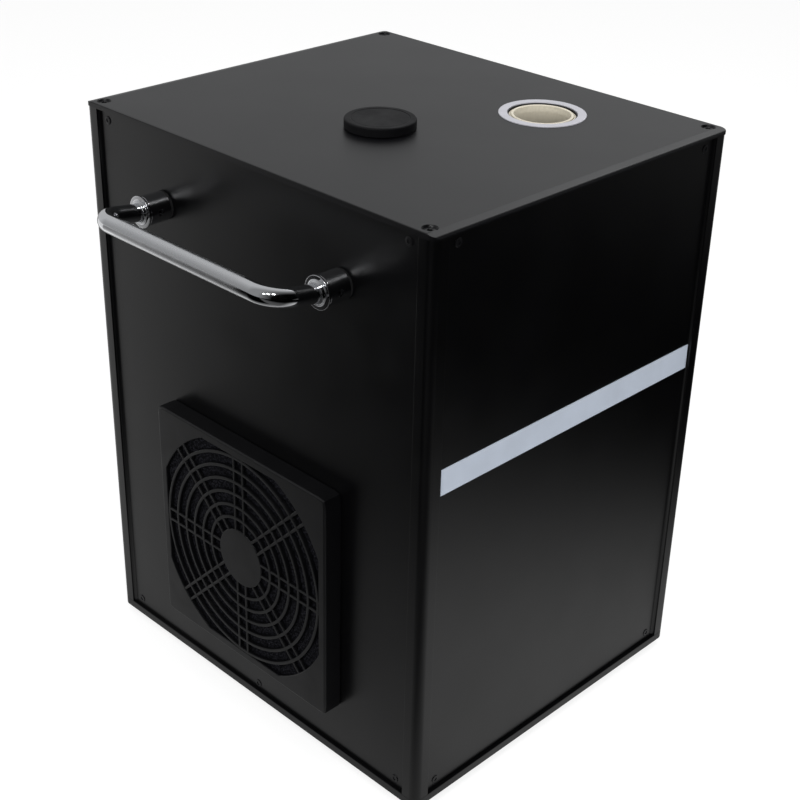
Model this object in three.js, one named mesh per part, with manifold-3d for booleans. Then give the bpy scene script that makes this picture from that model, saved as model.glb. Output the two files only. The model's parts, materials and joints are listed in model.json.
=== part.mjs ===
// Cold spark machine: a stage effect machine in a box with a top nozzle, filler cap, side fan and handles.
// Millimetres, +Z up, -Y is the striped front, -X is the side with the fan guard.

import * as THREE from 'three';
import { mergeVertices } from 'three/addons/utils/BufferGeometryUtils.js';
import Module from 'manifold-3d';

const wasm = await Module();
wasm.setup();

// General
const weldDistance = 0.0001;
const cutOverrun = 1;
const runGap = 0.3;
const seatGap = 0.3;
const quarterTurn = Math.PI / 2;

// Casing
const bodyWidth = 202;
const bodyDepth = 236;
const bodyHeight = 299;
const cornerRadius = 4.5;
const cornerSteps = 4;
const topThickness = 2.5;
const baseThickness = 4.5;
const panelThickness = 1.5;
const panelRecess = 1.8;
const panelGap = 0.2;
const tabWidth = 24;
const tabHeight = 10;
const tabThickness = 2;

// Corner posts
const postFace = 9;
const postCore = 12;
const postFlange = 21;
const postFlangeThickness = 2;
const postHoleDepth = 12;

// Rubber feet
const footHeight = 5;
const footRadius = 9;
const footTipRadius = 8;
const footInset = 22;
const footSides = 20;

// Countersunk screws of the top plate
const screwSideInset = 5.5;
const screwEndInset = 8;
const screwHeadRadius = 2.8;
const screwHeadDepth = 1.6;
const screwShankRadius = 1.5;
const screwLength = 11;
const screwSocketRadius = 1;
const screwSocketDepth = 1;
const screwGap = 0.15;
const screwSides = 12;

// Stripe on the front
const stripeLength = 181.7;
const stripeHeight = 13.2;
const stripeThickness = 0.3;
const stripeDrop = 118.3;
const stripeOffset = 0.85;

// Carrying handles
const handleSpan = 123.6;
const handleOffset = 1.3;
const handleDrop = 38.5;
const handleReach = 38.5;
const handleLift = 3.8;
const handleRodRadius = 4.35;
const handleBend = 11.5;
const handleBendSteps = 6;
const rodSides = 14;
const bossLength = 14.4;
const bossRadius = 7.3;
const bossRimRadius = 7.8;
const bossRimLength = 1.2;
const bossCollarRadius = 5.5;
const bossCollarLength = 1.5;
const bossBoreDepth = 10;
const bossStudRadius = 2.5;
const bossStudLength = 8;
const bossSides = 18;

// Fan guard and filter
const fanLevel = 98;
const fanOffset = 0.9;
const guardSize = 125;
const guardDepth = 10.6;
const guardWall = 2;
const guardCornerRadius = 2.5;
const guardFrameWidth = 4.6;
const guardOpeningBulge = 6.2;
const guardHubRadius = 16;
const guardRingCount = 6;
const guardFirstRing = 22.5;
const guardRingMerge = 0.7;
const guardRingWidth = 1.7;
const guardSpokeCount = 8;
const guardSpokePitch = 6.4;
const guardSpokeWidth = 1.5;
const guardCellSteps = 4;
const guardBaseThickness = 3.7;
const guardBoreInset = 1;
const foamThickness = 4.6;

// Fan
const fanInset = 2.5;
const fanDepth = 25;
const fanWall = 3;
const fanFlange = 4;
const fanCornerRadius = 5;
const fanHoleInset = 7.5;
const fanHoleRadius = 2.2;
const fanRingWall = 2.4;
const fanHubRadius = 20;
const fanStrutWidth = 5;
const fanStrutDepth = 3;
const fanStrutCount = 4;
const fanPinRadius = 2.5;
const fanPinLength = 11;
const fanSides = 28;
const impellerHubRadius = 19;
const impellerDepth = 18.5;
const impellerTipGap = 2;
const bladeCount = 7;
const bladeStations = 4;
const bladeRootChord = 18;
const bladeTipChord = 27;
const bladeRootPitch = 48 * Math.PI / 180;
const bladeTipPitch = 26 * Math.PI / 180;
const bladeThickness = 1.8;

// Filler cap, neck and hopper
const fillerX = -22.3;
const fillerY = -7;
const capRadius = 17.2;
const capTop = 4.7;
const capSkin = 2.2;
const capEdge = 0.7;
const capPlugWall = 1.5;
const capPlugDepth = 6;
const neckBoreRadius = 12.5;
const neckWall = 1.2;
const neckRimRadius = 15.4;
const neckRimHeight = 1.6;
const neckLength = 14;
const hopperRadius = 31;
const hopperWall = 1.5;
const hopperLidDrop = 8.5;
const hopperConeHeight = 28;
const hopperStraight = 50;
const hopperOutletRadius = 8;
const lathSides = 32;
const innerSides = 24;

// Spark nozzle
const nozzleX = 51;
const nozzleY = -44.4;
const nozzleRingRadius = 21.4;
const nozzleRingBore = 17.1;
const nozzleRingHeight = 0.5;
const nozzleTubeRadius = 16.7;
const nozzleBoreRadius = 13.5;
const nozzleRimRadius = 15.3;
const nozzleRimHeight = 0.9;
const nozzleMouthRadius = 13.9;
const nozzleMouthDepth = 3;
const nozzleTopDrop = 0.6;
const nozzleTubeLength = 42;

// Heating chamber
const chamberRadius = 22;
const chamberFootRadius = 30;
const chamberFootHeight = 4;
const chamberSocketDepth = 6;
const collarLevel = 28;
const collarHeight = 2.5;
const collarRadius = 26;
const sleeveRadius = 29;
const sleeveTopDrop = 5;

// Powder feed
const barrelRadius = 10;
const barrelBore = 6.5;
const barrelTail = 16;
const barrelEndWall = 3;
const portRadius = 11;
const portHeight = 16;
const portOverlap = 6;
const augerPitch = 12;
const augerFlight = 1.4;
const augerStepsPerTurn = 8;
const augerShaftRadius = 2.5;
const augerSides = 12;
const couplingRadius = 7;
const couplingLength = 10;
const motorGap = 14;
const gearboxSize = 32;
const gearboxLength = 18;
const motorCanRadius = 13;
const motorCanLength = 24;
const motorBoreDepth = 8;

// Bridge that carries the feed and the chamber
const bridgeDrop = 126;
const bridgeThickness = 2;
const bridgeMinX = -68;
const bridgeMaxX = 86;
const bridgeMinY = -90;
const bridgeMaxY = 55;
const bridgeLegWidth = 22;
const bridgeFootWidth = 12;
const airHoleRadius = 11;

// Air blower
const blowerDepth = 30;
const blowerWall = 2;
const blowerDrop = 64;
const scrollStart = 30;
const scrollEnd = 40;
const scrollSteps = 20;
const tongueX = 10;
const blowerFlangeWidth = 46;
const blowerFlangeDepth = 40;
const blowerFlangeThickness = 2.5;
const intakeRadius = 19;
const wheelRadius = 27;
const wheelHeight = 22;
const wheelDisc = 2;
const wheelBladeCount = 16;
const wheelBladeDepth = 7;
const wheelBladeThickness = 1.4;
const wheelHubRadius = 6;
const wheelHubHeight = 12;
const blowerPinRadius = 2;
const blowerPinLength = 12;
const wheelSides = 24;

// Power supply
const supplyWidth = 97;
const supplyLength = 118;
const supplyHeight = 38;
const supplyX = 4;
const supplyY = 32.2;
const terminalLength = 14;
const terminalWidth = 70;
const terminalDrop = 12;

// Vents in the right panel
const ventCount = 10;
const ventLength = 62;
const ventHeight = 3;
const ventPitch = 9;
const ventLevel = 98;
const ventSteps = 2;

// Display and buttons on the rear
const displayDrop = 58;
const bezelWidth = 88;
const bezelHeight = 46;
const bezelThickness = 2;
const bezelCornerRadius = 3;
const windowWidth = 64;
const windowHeight = 26;
const screenMargin = 2;
const screenDepth = 6;
const buttonDrop = 40;
const buttonPitch = 22;
const buttonRadius = 5;
const buttonTop = 2.4;
const buttonFlangeRadius = 6.3;
const buttonFlangeThickness = 1.2;
const buttonEdge = 0.6;
const buttonSides = 16;
const buttonNames = ['menu', 'up', 'down', 'enter'];

// Control board behind the display
const boardWidth = 110;
const boardHeight = 84;
const boardThickness = 1.6;
const boardDrop = 20;
const standoffHeight = 9;
const standoffRadius = 2.5;
const standoffInset = 5;
const chipWidth = 26;
const chipHeight = 20;
const chipDepth = 12;
const chipSpacing = 34;

// Power switch
const switchX = 4;
const powerLevel = 56;
const switchFrameWidth = 24;
const switchFrameHeight = 32;
const switchRim = 2;
const switchCornerRadius = 2;
const switchWindowWidth = 18;
const switchWindowHeight = 26;
const switchWall = 1.5;
const switchDepth = 14;
const rockerSideGap = 0.4;
const rockerEndGap = 1;
const rockerPivotDepth = 3;
const rockerEndHeight = 3.6;
const rockerMidHeight = 2.2;
const rockerSkirtDepth = 2;
const rockerBellyDepth = 6;
const rockerBellyHalf = 4;
const rockerPinRadius = 1.2;
const rockerPinLength = 0.9;
const rockerTilt = 7 * Math.PI / 180;

// Power inlet
const inletX = -48;
const inletFlangeWidth = 48;
const inletFlangeHeight = 29;
const inletFlangeThickness = 2;
const inletFlangeRadius = 4;
const inletBodyWidth = 31;
const inletBodyHeight = 23.5;
const inletBodyDepth = 20;
const inletWellWidth = 24.4;
const inletWellHeight = 17;
const inletWellChamfer = 4;
const inletWellDepth = 17;
const inletPinLength = 11;
const inletPinWidth = 2;
const inletPinHeight = 4;
const inletPinPitch = 7;
const inletPinDrop = 2;

// Fuse holder
const fuseX = 50;
const fuseRimRadius = 8;
const fuseRimThickness = 2;
const fuseTubeRadius = 6.2;
const fuseBoreRadius = 4.6;
const fuseDepth = 22;
const fuseFloor = 2;
const fuseCapRadius = 6.6;
const fuseCapHeight = 4.2;
const fusePlugLength = 14;
const fuseSlotWidth = 1.4;
const fuseSlotDepth = 1.2;
const fuseSides = 20;

// Signal sockets
const socketLevelShare = 0.48;
const socketX = 30;
const socketFlangeWidth = 26;
const socketFlangeHeight = 31;
const socketFlangeThickness = 1.8;
const socketFlangeRadius = 2;
const socketShellRadius = 11.4;
const socketShellDepth = 18;
const socketWellRadius = 9.4;
const socketWellDepth = 14;
const socketDishDepth = 1.6;
const socketPinCircle = 5;
const socketPinRadius = 1.25;
const socketPinLength = 9;
const socketHoleRadius = 1.6;
const socketHoleDepth = 9;
const socketSides = 28;
const contactCount = 3;
const smallSides = 8;

// Levels and faces worked out from the sizes above
const halfWidth = bodyWidth / 2;
const halfDepth = bodyDepth / 2;
const baseTop = footHeight + baseThickness;
const topOuter = footHeight + bodyHeight;
const topInner = topOuter - topThickness;
const panelHeight = topInner - baseTop;
const panelMidLevel = (topInner + baseTop) / 2;
const panelFaceX = halfWidth - panelRecess;
const panelFaceY = halfDepth - panelRecess;
const panelBackX = panelFaceX - panelThickness;
const stripeLevel = topOuter - stripeDrop;
const handleLevel = topOuter - handleDrop;
const displayLevel = topOuter - displayDrop;
const buttonLevel = displayLevel - buttonDrop;
const boardLevel = displayLevel - boardDrop;
const socketLevel = powerLevel + (buttonLevel - powerLevel) * socketLevelShare;
const bridgeLevel = topOuter - bridgeDrop;
const guardOpeningHalf = guardSize / 2 - guardFrameWidth;
const guardOpeningRadius = guardOpeningHalf + guardOpeningBulge;
const guardRingPitch = (guardOpeningHalf - guardRingMerge - guardFirstRing) / (guardRingCount - 1);
const fanSize = guardSize - 2 * fanInset;
const fanBoreRadius = fanSize / 2 - fanWall;
const fanHolePitch = fanSize - 2 * fanHoleInset;
const guardBoreRadius = fanBoreRadius - guardBoreInset;
const impellerRadius = fanBoreRadius - impellerTipGap;
const nozzleTubeTop = topOuter + nozzleRingHeight - nozzleTopDrop;
const nozzleTubeBottom = nozzleTubeTop - nozzleTubeLength;
const chamberBottom = bridgeLevel + seatGap;
const chamberHeight = nozzleTubeBottom - seatGap + chamberSocketDepth - chamberBottom;
const feedDistance = Math.hypot(nozzleX - fillerX, nozzleY - fillerY);
const feedAngle = Math.atan2(nozzleY - fillerY, nozzleX - fillerX);
const feedLevel = bridgeLevel + seatGap + gearboxSize / 2;
const hopperLidTop = topInner - hopperLidDrop;
const neckRadius = neckBoreRadius + neckWall;

// Geometry helpers

// Welds equal points and drops the triangles that collapse with them, then turns the faces outwards.
function closed(geometry) {
  const bare = geometry.clone();
  bare.deleteAttribute('normal');
  bare.deleteAttribute('uv');
  const welded = mergeVertices(bare, weldDistance);
  const kept = [];
  const index = welded.index.array;
  for (let i = 0; i < index.length; i += 3) {
    const [a, b, c] = [index[i], index[i + 1], index[i + 2]];
    if (a !== b && b !== c && c !== a) {
      kept.push(a, b, c);
    }
  }
  if (signedVolume(welded.attributes.position, kept) < 0) {
    kept.reverse();
  }
  const result = new THREE.BufferGeometry();
  result.setAttribute('position', welded.attributes.position);
  result.setIndex(kept);
  return result;
}

function signedVolume(position, index) {
  const [a, b, c] = [new THREE.Vector3(), new THREE.Vector3(), new THREE.Vector3()];
  let total = 0;
  for (let i = 0; i < index.length; i += 3) {
    a.fromBufferAttribute(position, index[i]);
    b.fromBufferAttribute(position, index[i + 1]);
    c.fromBufferAttribute(position, index[i + 2]);
    total += a.dot(b.cross(c));
  }
  return total;
}

function solid(geometry) {
  const shape = closed(geometry);
  const vertProperties = new Float32Array(shape.attributes.position.array);
  const triVerts = new Uint32Array(shape.index.array);
  return new wasm.Manifold(new wasm.Mesh({ numProp: 3, vertProperties, triVerts }));
}

function geometryOf(manifold) {
  const mesh = manifold.getMesh();
  const result = new THREE.BufferGeometry();
  const places = new Float32Array(mesh.vertProperties);
  result.setAttribute('position', new THREE.BufferAttribute(places, mesh.numProp));
  result.setIndex(Array.from(mesh.triVerts));
  return closed(result);
}

// Joins the geometries of the first list and cuts those of the second list from the result.
function shaped(joined, removed = []) {
  let result = solid(joined[0]);
  for (const geometry of joined.slice(1)) {
    result = result.add(solid(geometry));
  }
  for (const geometry of removed) {
    result = result.subtract(solid(geometry));
  }
  return geometryOf(result);
}

// A box between two corners.
function block(x0, x1, y0, y1, z0, z1) {
  const geometry = new THREE.BoxGeometry(x1 - x0, y1 - y0, z1 - z0);
  geometry.translate((x0 + x1) / 2, (y0 + y1) / 2, (z0 + z1) / 2);
  return geometry;
}

// A round bar along Z between two heights, with its middle at x, y.
function bar(radius, z0, z1, sides, x = 0, y = 0, topRadius = radius) {
  const geometry = new THREE.CylinderGeometry(topRadius, radius, z1 - z0, sides);
  geometry.rotateX(quarterTurn);
  geometry.translate(x, y, (z0 + z1) / 2);
  return geometry;
}

// A body of revolution about Z from [radius, height] pairs; a profile off the axis closes on itself.
function revolved(profile, sides) {
  const points = profile.map(([radius, height]) => new THREE.Vector2(radius, height));
  const touchesAxis = profile[0][0] === 0;
  if (!touchesAxis) {
    points.push(points[0].clone());
  }
  const geometry = new THREE.LatheGeometry(points, sides);
  geometry.rotateX(quarterTurn);
  return closed(geometry);
}

function arc(x, y, radius, start, end, steps) {
  const points = [];
  for (let i = 0; i <= steps; i += 1) {
    const angle = start + (end - start) * i / steps;
    points.push(new THREE.Vector2(x + radius * Math.cos(angle), y + radius * Math.sin(angle)));
  }
  return points;
}

function circle(x, y, radius, sides) {
  return arc(x, y, radius, 0, 2 * Math.PI, sides).slice(0, -1);
}

function roundedRectangle(width, height, radius, steps, x = 0, y = 0) {
  const spanX = width / 2 - radius;
  const spanY = height / 2 - radius;
  return [
    ...arc(x + spanX, y + spanY, radius, 0, quarterTurn, steps),
    ...arc(x - spanX, y + spanY, radius, quarterTurn, Math.PI, steps),
    ...arc(x - spanX, y - spanY, radius, Math.PI, Math.PI + quarterTurn, steps),
    ...arc(x + spanX, y - spanY, radius, Math.PI + quarterTurn, 2 * Math.PI, steps),
  ];
}

function rectangle(width, height, x = 0, y = 0) {
  return [
    new THREE.Vector2(x + width / 2, y + height / 2),
    new THREE.Vector2(x - width / 2, y + height / 2),
    new THREE.Vector2(x - width / 2, y - height / 2),
    new THREE.Vector2(x + width / 2, y - height / 2),
  ];
}

// A plate from an outline, with holes, between two heights.
function plate(outline, holes, z0, z1) {
  const shape = new THREE.Shape(outline);
  shape.holes = holes.map((hole) => new THREE.Path(hole));
  const geometry = new THREE.ExtrudeGeometry(shape, { depth: z1 - z0, bevelEnabled: false });
  geometry.translate(0, 0, z0);
  return closed(geometry);
}

// Joins equal rings of points, one after the other, into a closed skin with flat ends.
function lofted(rings) {
  const size = rings[0].length;
  const corners = rings.flat().flatMap((point) => [point.x, point.y, point.z]);
  const index = [];
  for (let ring = 0; ring + 1 < rings.length; ring += 1) {
    for (let i = 0; i < size; i += 1) {
      const a = ring * size + i;
      const b = ring * size + (i + 1) % size;
      index.push(a, b, a + size, b, b + size, a + size);
    }
  }
  const last = (rings.length - 1) * size;
  for (let i = 1; i + 1 < size; i += 1) {
    index.push(0, i + 1, i, last, last + i, last + i + 1);
  }
  const geometry = new THREE.BufferGeometry();
  geometry.setAttribute('position', new THREE.Float32BufferAttribute(corners, 3));
  geometry.setIndex(index);
  return closed(geometry);
}

function piece(name, geometry, material, x = 0, y = 0, z = 0) {
  const mesh = new THREE.Mesh(geometry, material);
  mesh.name = name;
  mesh.position.set(x, y, z);
  return mesh;
}

// Finishes

function finish(color, roughness, metalness) {
  return new THREE.MeshStandardMaterial({ color, roughness, metalness });
}

const topPaint = () => finish(0x2c2d30, 0.5, 0.2);
const casePaint = () => finish(0x1d1e21, 0.45, 0.2);
const chrome = () => finish(0xd6d7da, 0.08, 1);
const stripeFilm = () => finish(0xb8c0cc, 0.4, 0.2);
const blackPlastic = () => finish(0x232426, 0.55, 0);
const glossPlastic = () => finish(0x141416, 0.2, 0);
const filterFoam = () => finish(0x101011, 1, 0);
const blackRubber = () => finish(0x161617, 0.8, 0);
const blackSteel = () => finish(0x111112, 0.5, 0.8);
const whiteEnamel = () => finish(0xdcdce4, 0.35, 0);
const creamCeramic = () => finish(0xcfc8b4, 0.5, 0);
const bareSteel = () => finish(0x9a9c9f, 0.35, 1);
const zincSheet = () => finish(0xa8acb0, 0.45, 0.9);
const woolJacket = () => finish(0xd8d2c4, 0.95, 0);
const greenBoard = () => finish(0x1f5a34, 0.5, 0);
const darkGlass = () => finish(0x10201c, 0.1, 0);
const redPlastic = () => finish(0xa01c18, 0.35, 0);

// Casing

function basePlate() {
  const outline = roundedRectangle(bodyWidth, bodyDepth, cornerRadius, cornerSteps);
  const tabTop = baseThickness + tabHeight;
  const tabs = [-1, 1].map((side) => {
    const face = side * panelBackX;
    const back = side * (panelBackX - tabThickness);
    return block(Math.min(face, back), Math.max(face, back), -tabWidth / 2, tabWidth / 2, 0, tabTop);
  });
  const geometry = shaped([plate(outline, [], 0, baseThickness), ...tabs]);
  return piece('base_plate', geometry, casePaint(), 0, 0, footHeight);
}

function screwPlaces() {
  const places = [];
  for (const [endName, endSign] of [['front', -1], ['rear', 1]]) {
    for (const [sideName, sideSign] of [['left', -1], ['right', 1]]) {
      const x = sideSign * (halfWidth - screwSideInset);
      const y = endSign * (halfDepth - screwEndInset);
      places.push({ name: endName + '_' + sideName, sideSign, endSign, x, y });
    }
  }
  return places;
}

function topPlate() {
  const outline = roundedRectangle(bodyWidth, bodyDepth, cornerRadius, cornerSteps);
  const holes = [
    circle(fillerX, fillerY, neckRadius + runGap, lathSides),
    circle(nozzleX, nozzleY, nozzleTubeRadius + runGap, lathSides),
  ];
  const shank = screwShankRadius + screwGap;
  const sinkRadius = screwHeadRadius + screwGap;
  const sinkStart = topThickness - screwHeadDepth - screwGap;
  const sinks = screwPlaces().flatMap(({ x, y }) => [
    bar(shank, -cutOverrun, topThickness + cutOverrun, screwSides, x, y),
    bar(shank, sinkStart, topThickness, screwSides, x, y, sinkRadius),
  ]);
  const geometry = shaped([plate(outline, holes, 0, topThickness)], sinks);
  return piece('top_plate', geometry, topPaint(), 0, 0, topInner);
}

// A screw with its head flush at height zero.
function topScrew({ name, x, y }) {
  const profile = [
    [0, -screwLength],
    [screwShankRadius, -screwLength],
    [screwShankRadius, -screwHeadDepth],
    [screwHeadRadius, 0],
    [screwSocketRadius, 0],
    [screwSocketRadius, -screwSocketDepth],
    [0, -screwSocketDepth],
  ];
  return piece('top_screw_' + name, revolved(profile, screwSides), blackSteel(), x, y, topOuter);
}

// A post's section: a rounded face each way, a core for the screw, and two flanges behind the panels.
function cornerPost({ name, sideSign, endSign, x, y }) {
  const panelBack = panelRecess + panelThickness;
  const flangeBack = panelBack + postFlangeThickness;
  const corner = arc(cornerRadius, cornerRadius, cornerRadius, Math.PI, Math.PI + quarterTurn, cornerSteps);
  const steps = [
    [postFace, 0],
    [postFace, panelBack],
    [postFlange, panelBack],
    [postFlange, flangeBack],
    [postCore, flangeBack],
    [postCore, postCore],
    [flangeBack, postCore],
    [flangeBack, postFlange],
    [panelBack, postFlange],
    [panelBack, postFace],
    [0, postFace],
  ].map(([u, v]) => new THREE.Vector2(u, v));
  const outline = [...corner, ...steps].map(({ x: u, y: v }) => {
    return new THREE.Vector2(sideSign * (halfWidth - u), endSign * (halfDepth - v));
  });
  const holeTop = panelHeight + cutOverrun;
  const hole = bar(screwShankRadius + screwGap, panelHeight - postHoleDepth, holeTop, screwSides, x, y);
  const geometry = shaped([plate(outline, [], 0, panelHeight)], [hole]);
  return piece('corner_post_' + name, geometry, casePaint(), 0, 0, baseTop);
}

function foot({ name, sideSign, endSign }) {
  const geometry = bar(footTipRadius, 0, footHeight, footSides, 0, 0, footRadius);
  const x = sideSign * (halfWidth - footInset);
  const y = endSign * (halfDepth - footInset);
  return piece('foot_' + name, closed(geometry), blackRubber(), x, y, 0);
}

// Each side is drawn as one looks at it: x to the right, y up from the floor, z out from the panel's face.
function side(distance, turn) {
  const group = new THREE.Group();
  group.position.set(distance * Math.sin(turn), -distance * Math.cos(turn), 0);
  group.rotation.set(quarterTurn, turn, 0);
  return group;
}

function panelOutline(span) {
  return rectangle(span - 2 * (postFace + panelGap), panelHeight, 0, panelMidLevel);
}

function studHoles() {
  return [-1, 1].map((end) => {
    return circle(handleOffset + end * handleSpan / 2, handleLevel, bossStudRadius + runGap, smallSides);
  });
}

function frontPanel() {
  return piece('front_panel', plate(panelOutline(bodyWidth), [], -panelThickness, 0), casePaint());
}

function frontStripe() {
  const outline = rectangle(stripeLength, stripeHeight);
  const geometry = plate(outline, [], 0, stripeThickness);
  return piece('front_stripe', geometry, stripeFilm(), stripeOffset, stripeLevel, 0);
}

function leftPanel() {
  const holes = [circle(fanOffset, fanLevel, guardBoreRadius, fanSides), ...studHoles()];
  return piece('left_panel', plate(panelOutline(bodyDepth), holes, -panelThickness, 0), casePaint());
}

function rightPanel() {
  const vents = [];
  const first = ventLevel - (ventCount - 1) * ventPitch / 2;
  for (let i = 0; i < ventCount; i += 1) {
    vents.push(roundedRectangle(ventLength, ventHeight, ventHeight / 2, ventSteps, 0, first + i * ventPitch));
  }
  const holes = [...vents, ...studHoles()];
  return piece('right_panel', plate(panelOutline(bodyDepth), holes, -panelThickness, 0), casePaint());
}

// Carrying handles

// A rod bent twice, from the bottom of one boss's bore to the bottom of the other's. Its legs rise to the
// bar, which stands a little above the bosses.
function handleGeometry() {
  const half = handleSpan / 2;
  const inner = bossLength - bossBoreDepth + runGap;
  const mouth = bossLength + bossCollarLength;
  const rise = z => Math.max(0, z - mouth) / (handleReach - mouth) * handleLift;
  const stations = [{ x: -half, z: inner, angle: 0 }, { x: -half, z: mouth, angle: 0 }];
  for (const end of [-1, 1]) {
    for (let i = 0; i <= handleBendSteps; i += 1) {
      const share = end < 0 ? i / handleBendSteps : 1 - i / handleBendSteps;
      const turn = share * quarterTurn;
      const x = end * (half - handleBend + handleBend * Math.cos(turn));
      const z = handleReach - handleBend + handleBend * Math.sin(turn);
      stations.push({ x, z, angle: end < 0 ? turn : Math.PI - turn });
    }
  }
  stations.push({ x: half, z: mouth, angle: Math.PI }, { x: half, z: inner, angle: Math.PI });
  const rings = stations.map(({ x, z, angle }) => {
    return circle(0, 0, handleRodRadius, rodSides).map(({ x: across, y: up }) => {
      return new THREE.Vector3(x - across * Math.cos(angle), up + rise(z), z + across * Math.sin(angle));
    });
  });
  return lofted(rings);
}

function bossGeometry() {
  const bore = handleRodRadius + runGap;
  const rimStart = bossLength - bossRimLength;
  const profile = [
    [0, -bossStudLength],
    [bossStudRadius, -bossStudLength],
    [bossStudRadius, 0],
    [bossRadius, 0],
    [bossRadius, rimStart],
    [bossRimRadius, rimStart],
    [bossRimRadius, bossLength],
    [bossCollarRadius, bossLength],
    [bossCollarRadius, bossLength + bossCollarLength],
    [bore, bossLength + bossCollarLength],
    [bore, bossLength - bossBoreDepth],
    [0, bossLength - bossBoreDepth],
  ];
  return revolved(profile, bossSides);
}

// The two ends are named for the end of the machine that they are nearest to.
function handle(sideName, endNames) {
  const group = new THREE.Group();
  group.position.set(handleOffset, handleLevel, 0);
  group.add(piece(sideName + '_handle', handleGeometry(), chrome()));
  endNames.forEach((endName, i) => {
    const x = (i - 1 / 2) * handleSpan;
    group.add(piece(sideName + '_handle_boss_' + endName, bossGeometry(), chrome(), x));
  });
  return group;
}

// Fan guard and filter

function ringMiddle(i) {
  return guardFirstRing + i * guardRingPitch;
}

// The gap between two bars of the grille: an arc at each radius, between two lines beside the spokes.
function grilleCell(inner, outer, start, startOffset, end, endOffset, steps) {
  const outerStart = start + Math.asin(startOffset / outer);
  const outerEnd = end - Math.asin(endOffset / outer);
  const innerStart = start + Math.asin(startOffset / inner);
  const innerEnd = end - Math.asin(endOffset / inner);
  return [
    ...arc(0, 0, outer, outerStart, outerEnd, steps),
    ...arc(0, 0, inner, innerEnd, innerStart, steps),
  ];
}

// The gaps between the hub and the last ring: a wide one beside each double spoke and a narrow one in it.
function grilleBands() {
  const cells = [];
  const step = 2 * Math.PI / guardSpokeCount;
  const beside = (guardSpokePitch + guardSpokeWidth) / 2;
  const within = (guardSpokePitch - guardSpokeWidth) / 2;
  for (let ring = 0; ring < guardRingCount; ring += 1) {
    const inner = ring === 0 ? guardHubRadius : ringMiddle(ring - 1) + guardRingWidth / 2;
    const outer = ringMiddle(ring) - guardRingWidth / 2;
    for (let i = 0; i < guardSpokeCount; i += 1) {
      const angle = i * step;
      cells.push(grilleCell(inner, outer, angle, beside, angle + step, beside, guardCellSteps));
      cells.push(grilleCell(inner, outer, angle, -within, angle, -within, 1));
    }
  }
  return cells;
}

// The gaps in the four corners, between the last ring and the opening's edge, split by a double spoke.
function grilleCorners() {
  const cells = [];
  const ring = ringMiddle(guardRingCount - 1) + guardRingWidth / 2;
  const half = guardOpeningHalf;
  const beside = (guardSpokePitch + guardSpokeWidth) / 2;
  const within = (guardSpokePitch - guardSpokeWidth) / 2;
  const low = Math.max(beside, Math.sqrt(Math.max(0, ring * ring - half * half)));
  const diagonal = quarterTurn / 2;
  const edgeStart = Math.acos(half / guardOpeningRadius);
  const edgeEnd = diagonal - Math.asin(beside / guardOpeningRadius);
  const ringEnd = diagonal - Math.asin(beside / ring);
  const cell = [
    new THREE.Vector2(half, low),
    ...arc(0, 0, guardOpeningRadius, edgeStart, edgeEnd, guardCellSteps),
    ...arc(0, 0, ring, ringEnd, Math.asin(low / ring), guardCellSteps),
  ];
  const mirrored = cell.map(({ x, y }) => new THREE.Vector2(y, x)).reverse();
  const middle = grilleCell(ring, guardOpeningRadius, diagonal, -within, diagonal, -within, 1);
  for (let corner = 0; corner < 4; corner += 1) {
    const turn = corner * quarterTurn;
    for (const outline of [cell, mirrored, middle]) {
      cells.push(outline.map((point) => point.clone().rotateAround(new THREE.Vector2(), turn)));
    }
  }
  return cells;
}

function fanGuard() {
  const outline = roundedRectangle(guardSize, guardSize, guardCornerRadius, cornerSteps);
  const inside = guardSize - 2 * guardWall;
  const faceStart = guardDepth - guardWall;
  const wall = plate(outline, [rectangle(inside, inside)], seatGap, guardDepth - guardWall / 2);
  const face = plate(outline, [], faceStart, guardDepth);
  const cells = [...grilleBands(), ...grilleCorners()].map((cell) => {
    return plate(cell, [], faceStart - cutOverrun, guardDepth + cutOverrun);
  });
  return piece('fan_guard', shaped([wall, face], cells), blackPlastic(), fanOffset, fanLevel, 0);
}

function fanHoles() {
  const half = fanHolePitch / 2;
  const corners = [[-1, -1], [1, -1], [1, 1], [-1, 1]];
  return corners.map(([x, y]) => circle(x * half, y * half, fanHoleRadius, smallSides));
}

function guardBase() {
  const size = guardSize - 2 * (guardWall + seatGap);
  const holes = [circle(0, 0, guardBoreRadius, fanSides), ...fanHoles()];
  const geometry = plate(rectangle(size, size), holes, 0, guardBaseThickness);
  return piece('guard_base', geometry, blackPlastic(), fanOffset, fanLevel, 0);
}

function filter() {
  const size = guardSize - 2 * (guardWall + seatGap);
  const geometry = plate(rectangle(size, size), [], 0, foamThickness);
  return piece('filter_foam', geometry, filterFoam(), fanOffset, fanLevel, guardBaseThickness);
}

// Fan: the frame's struts and pin are on the inside, and the impeller turns on the pin.

function fanFrame() {
  const outline = roundedRectangle(fanSize, fanSize, fanCornerRadius, cornerSteps);
  const bore = circle(0, 0, fanBoreRadius, fanSides);
  const flanges = [0, fanDepth - fanFlange].map((start) => {
    return plate(outline, [bore, ...fanHoles()], start, start + fanFlange);
  });
  const ring = plate(circle(0, 0, fanBoreRadius + fanRingWall, fanSides), [bore], 0, fanDepth);
  const struts = [];
  for (let i = 0; i < fanStrutCount; i += 1) {
    const reach = fanBoreRadius + fanRingWall / 2;
    const strut = block(0, reach, -fanStrutWidth / 2, fanStrutWidth / 2, 0, fanStrutDepth);
    strut.rotateZ(quarterTurn * (i + 1 / 2));
    struts.push(strut);
  }
  const hub = bar(fanHubRadius, 0, fanStrutDepth, fanSides);
  const pin = bar(fanPinRadius, 0, fanStrutDepth + fanPinLength, bossSides);
  const geometry = shaped([ring, ...flanges, hub, ...struts, pin]);
  return piece('fan_frame', geometry, blackPlastic(), fanOffset, fanLevel, -panelThickness - fanDepth);
}

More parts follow.
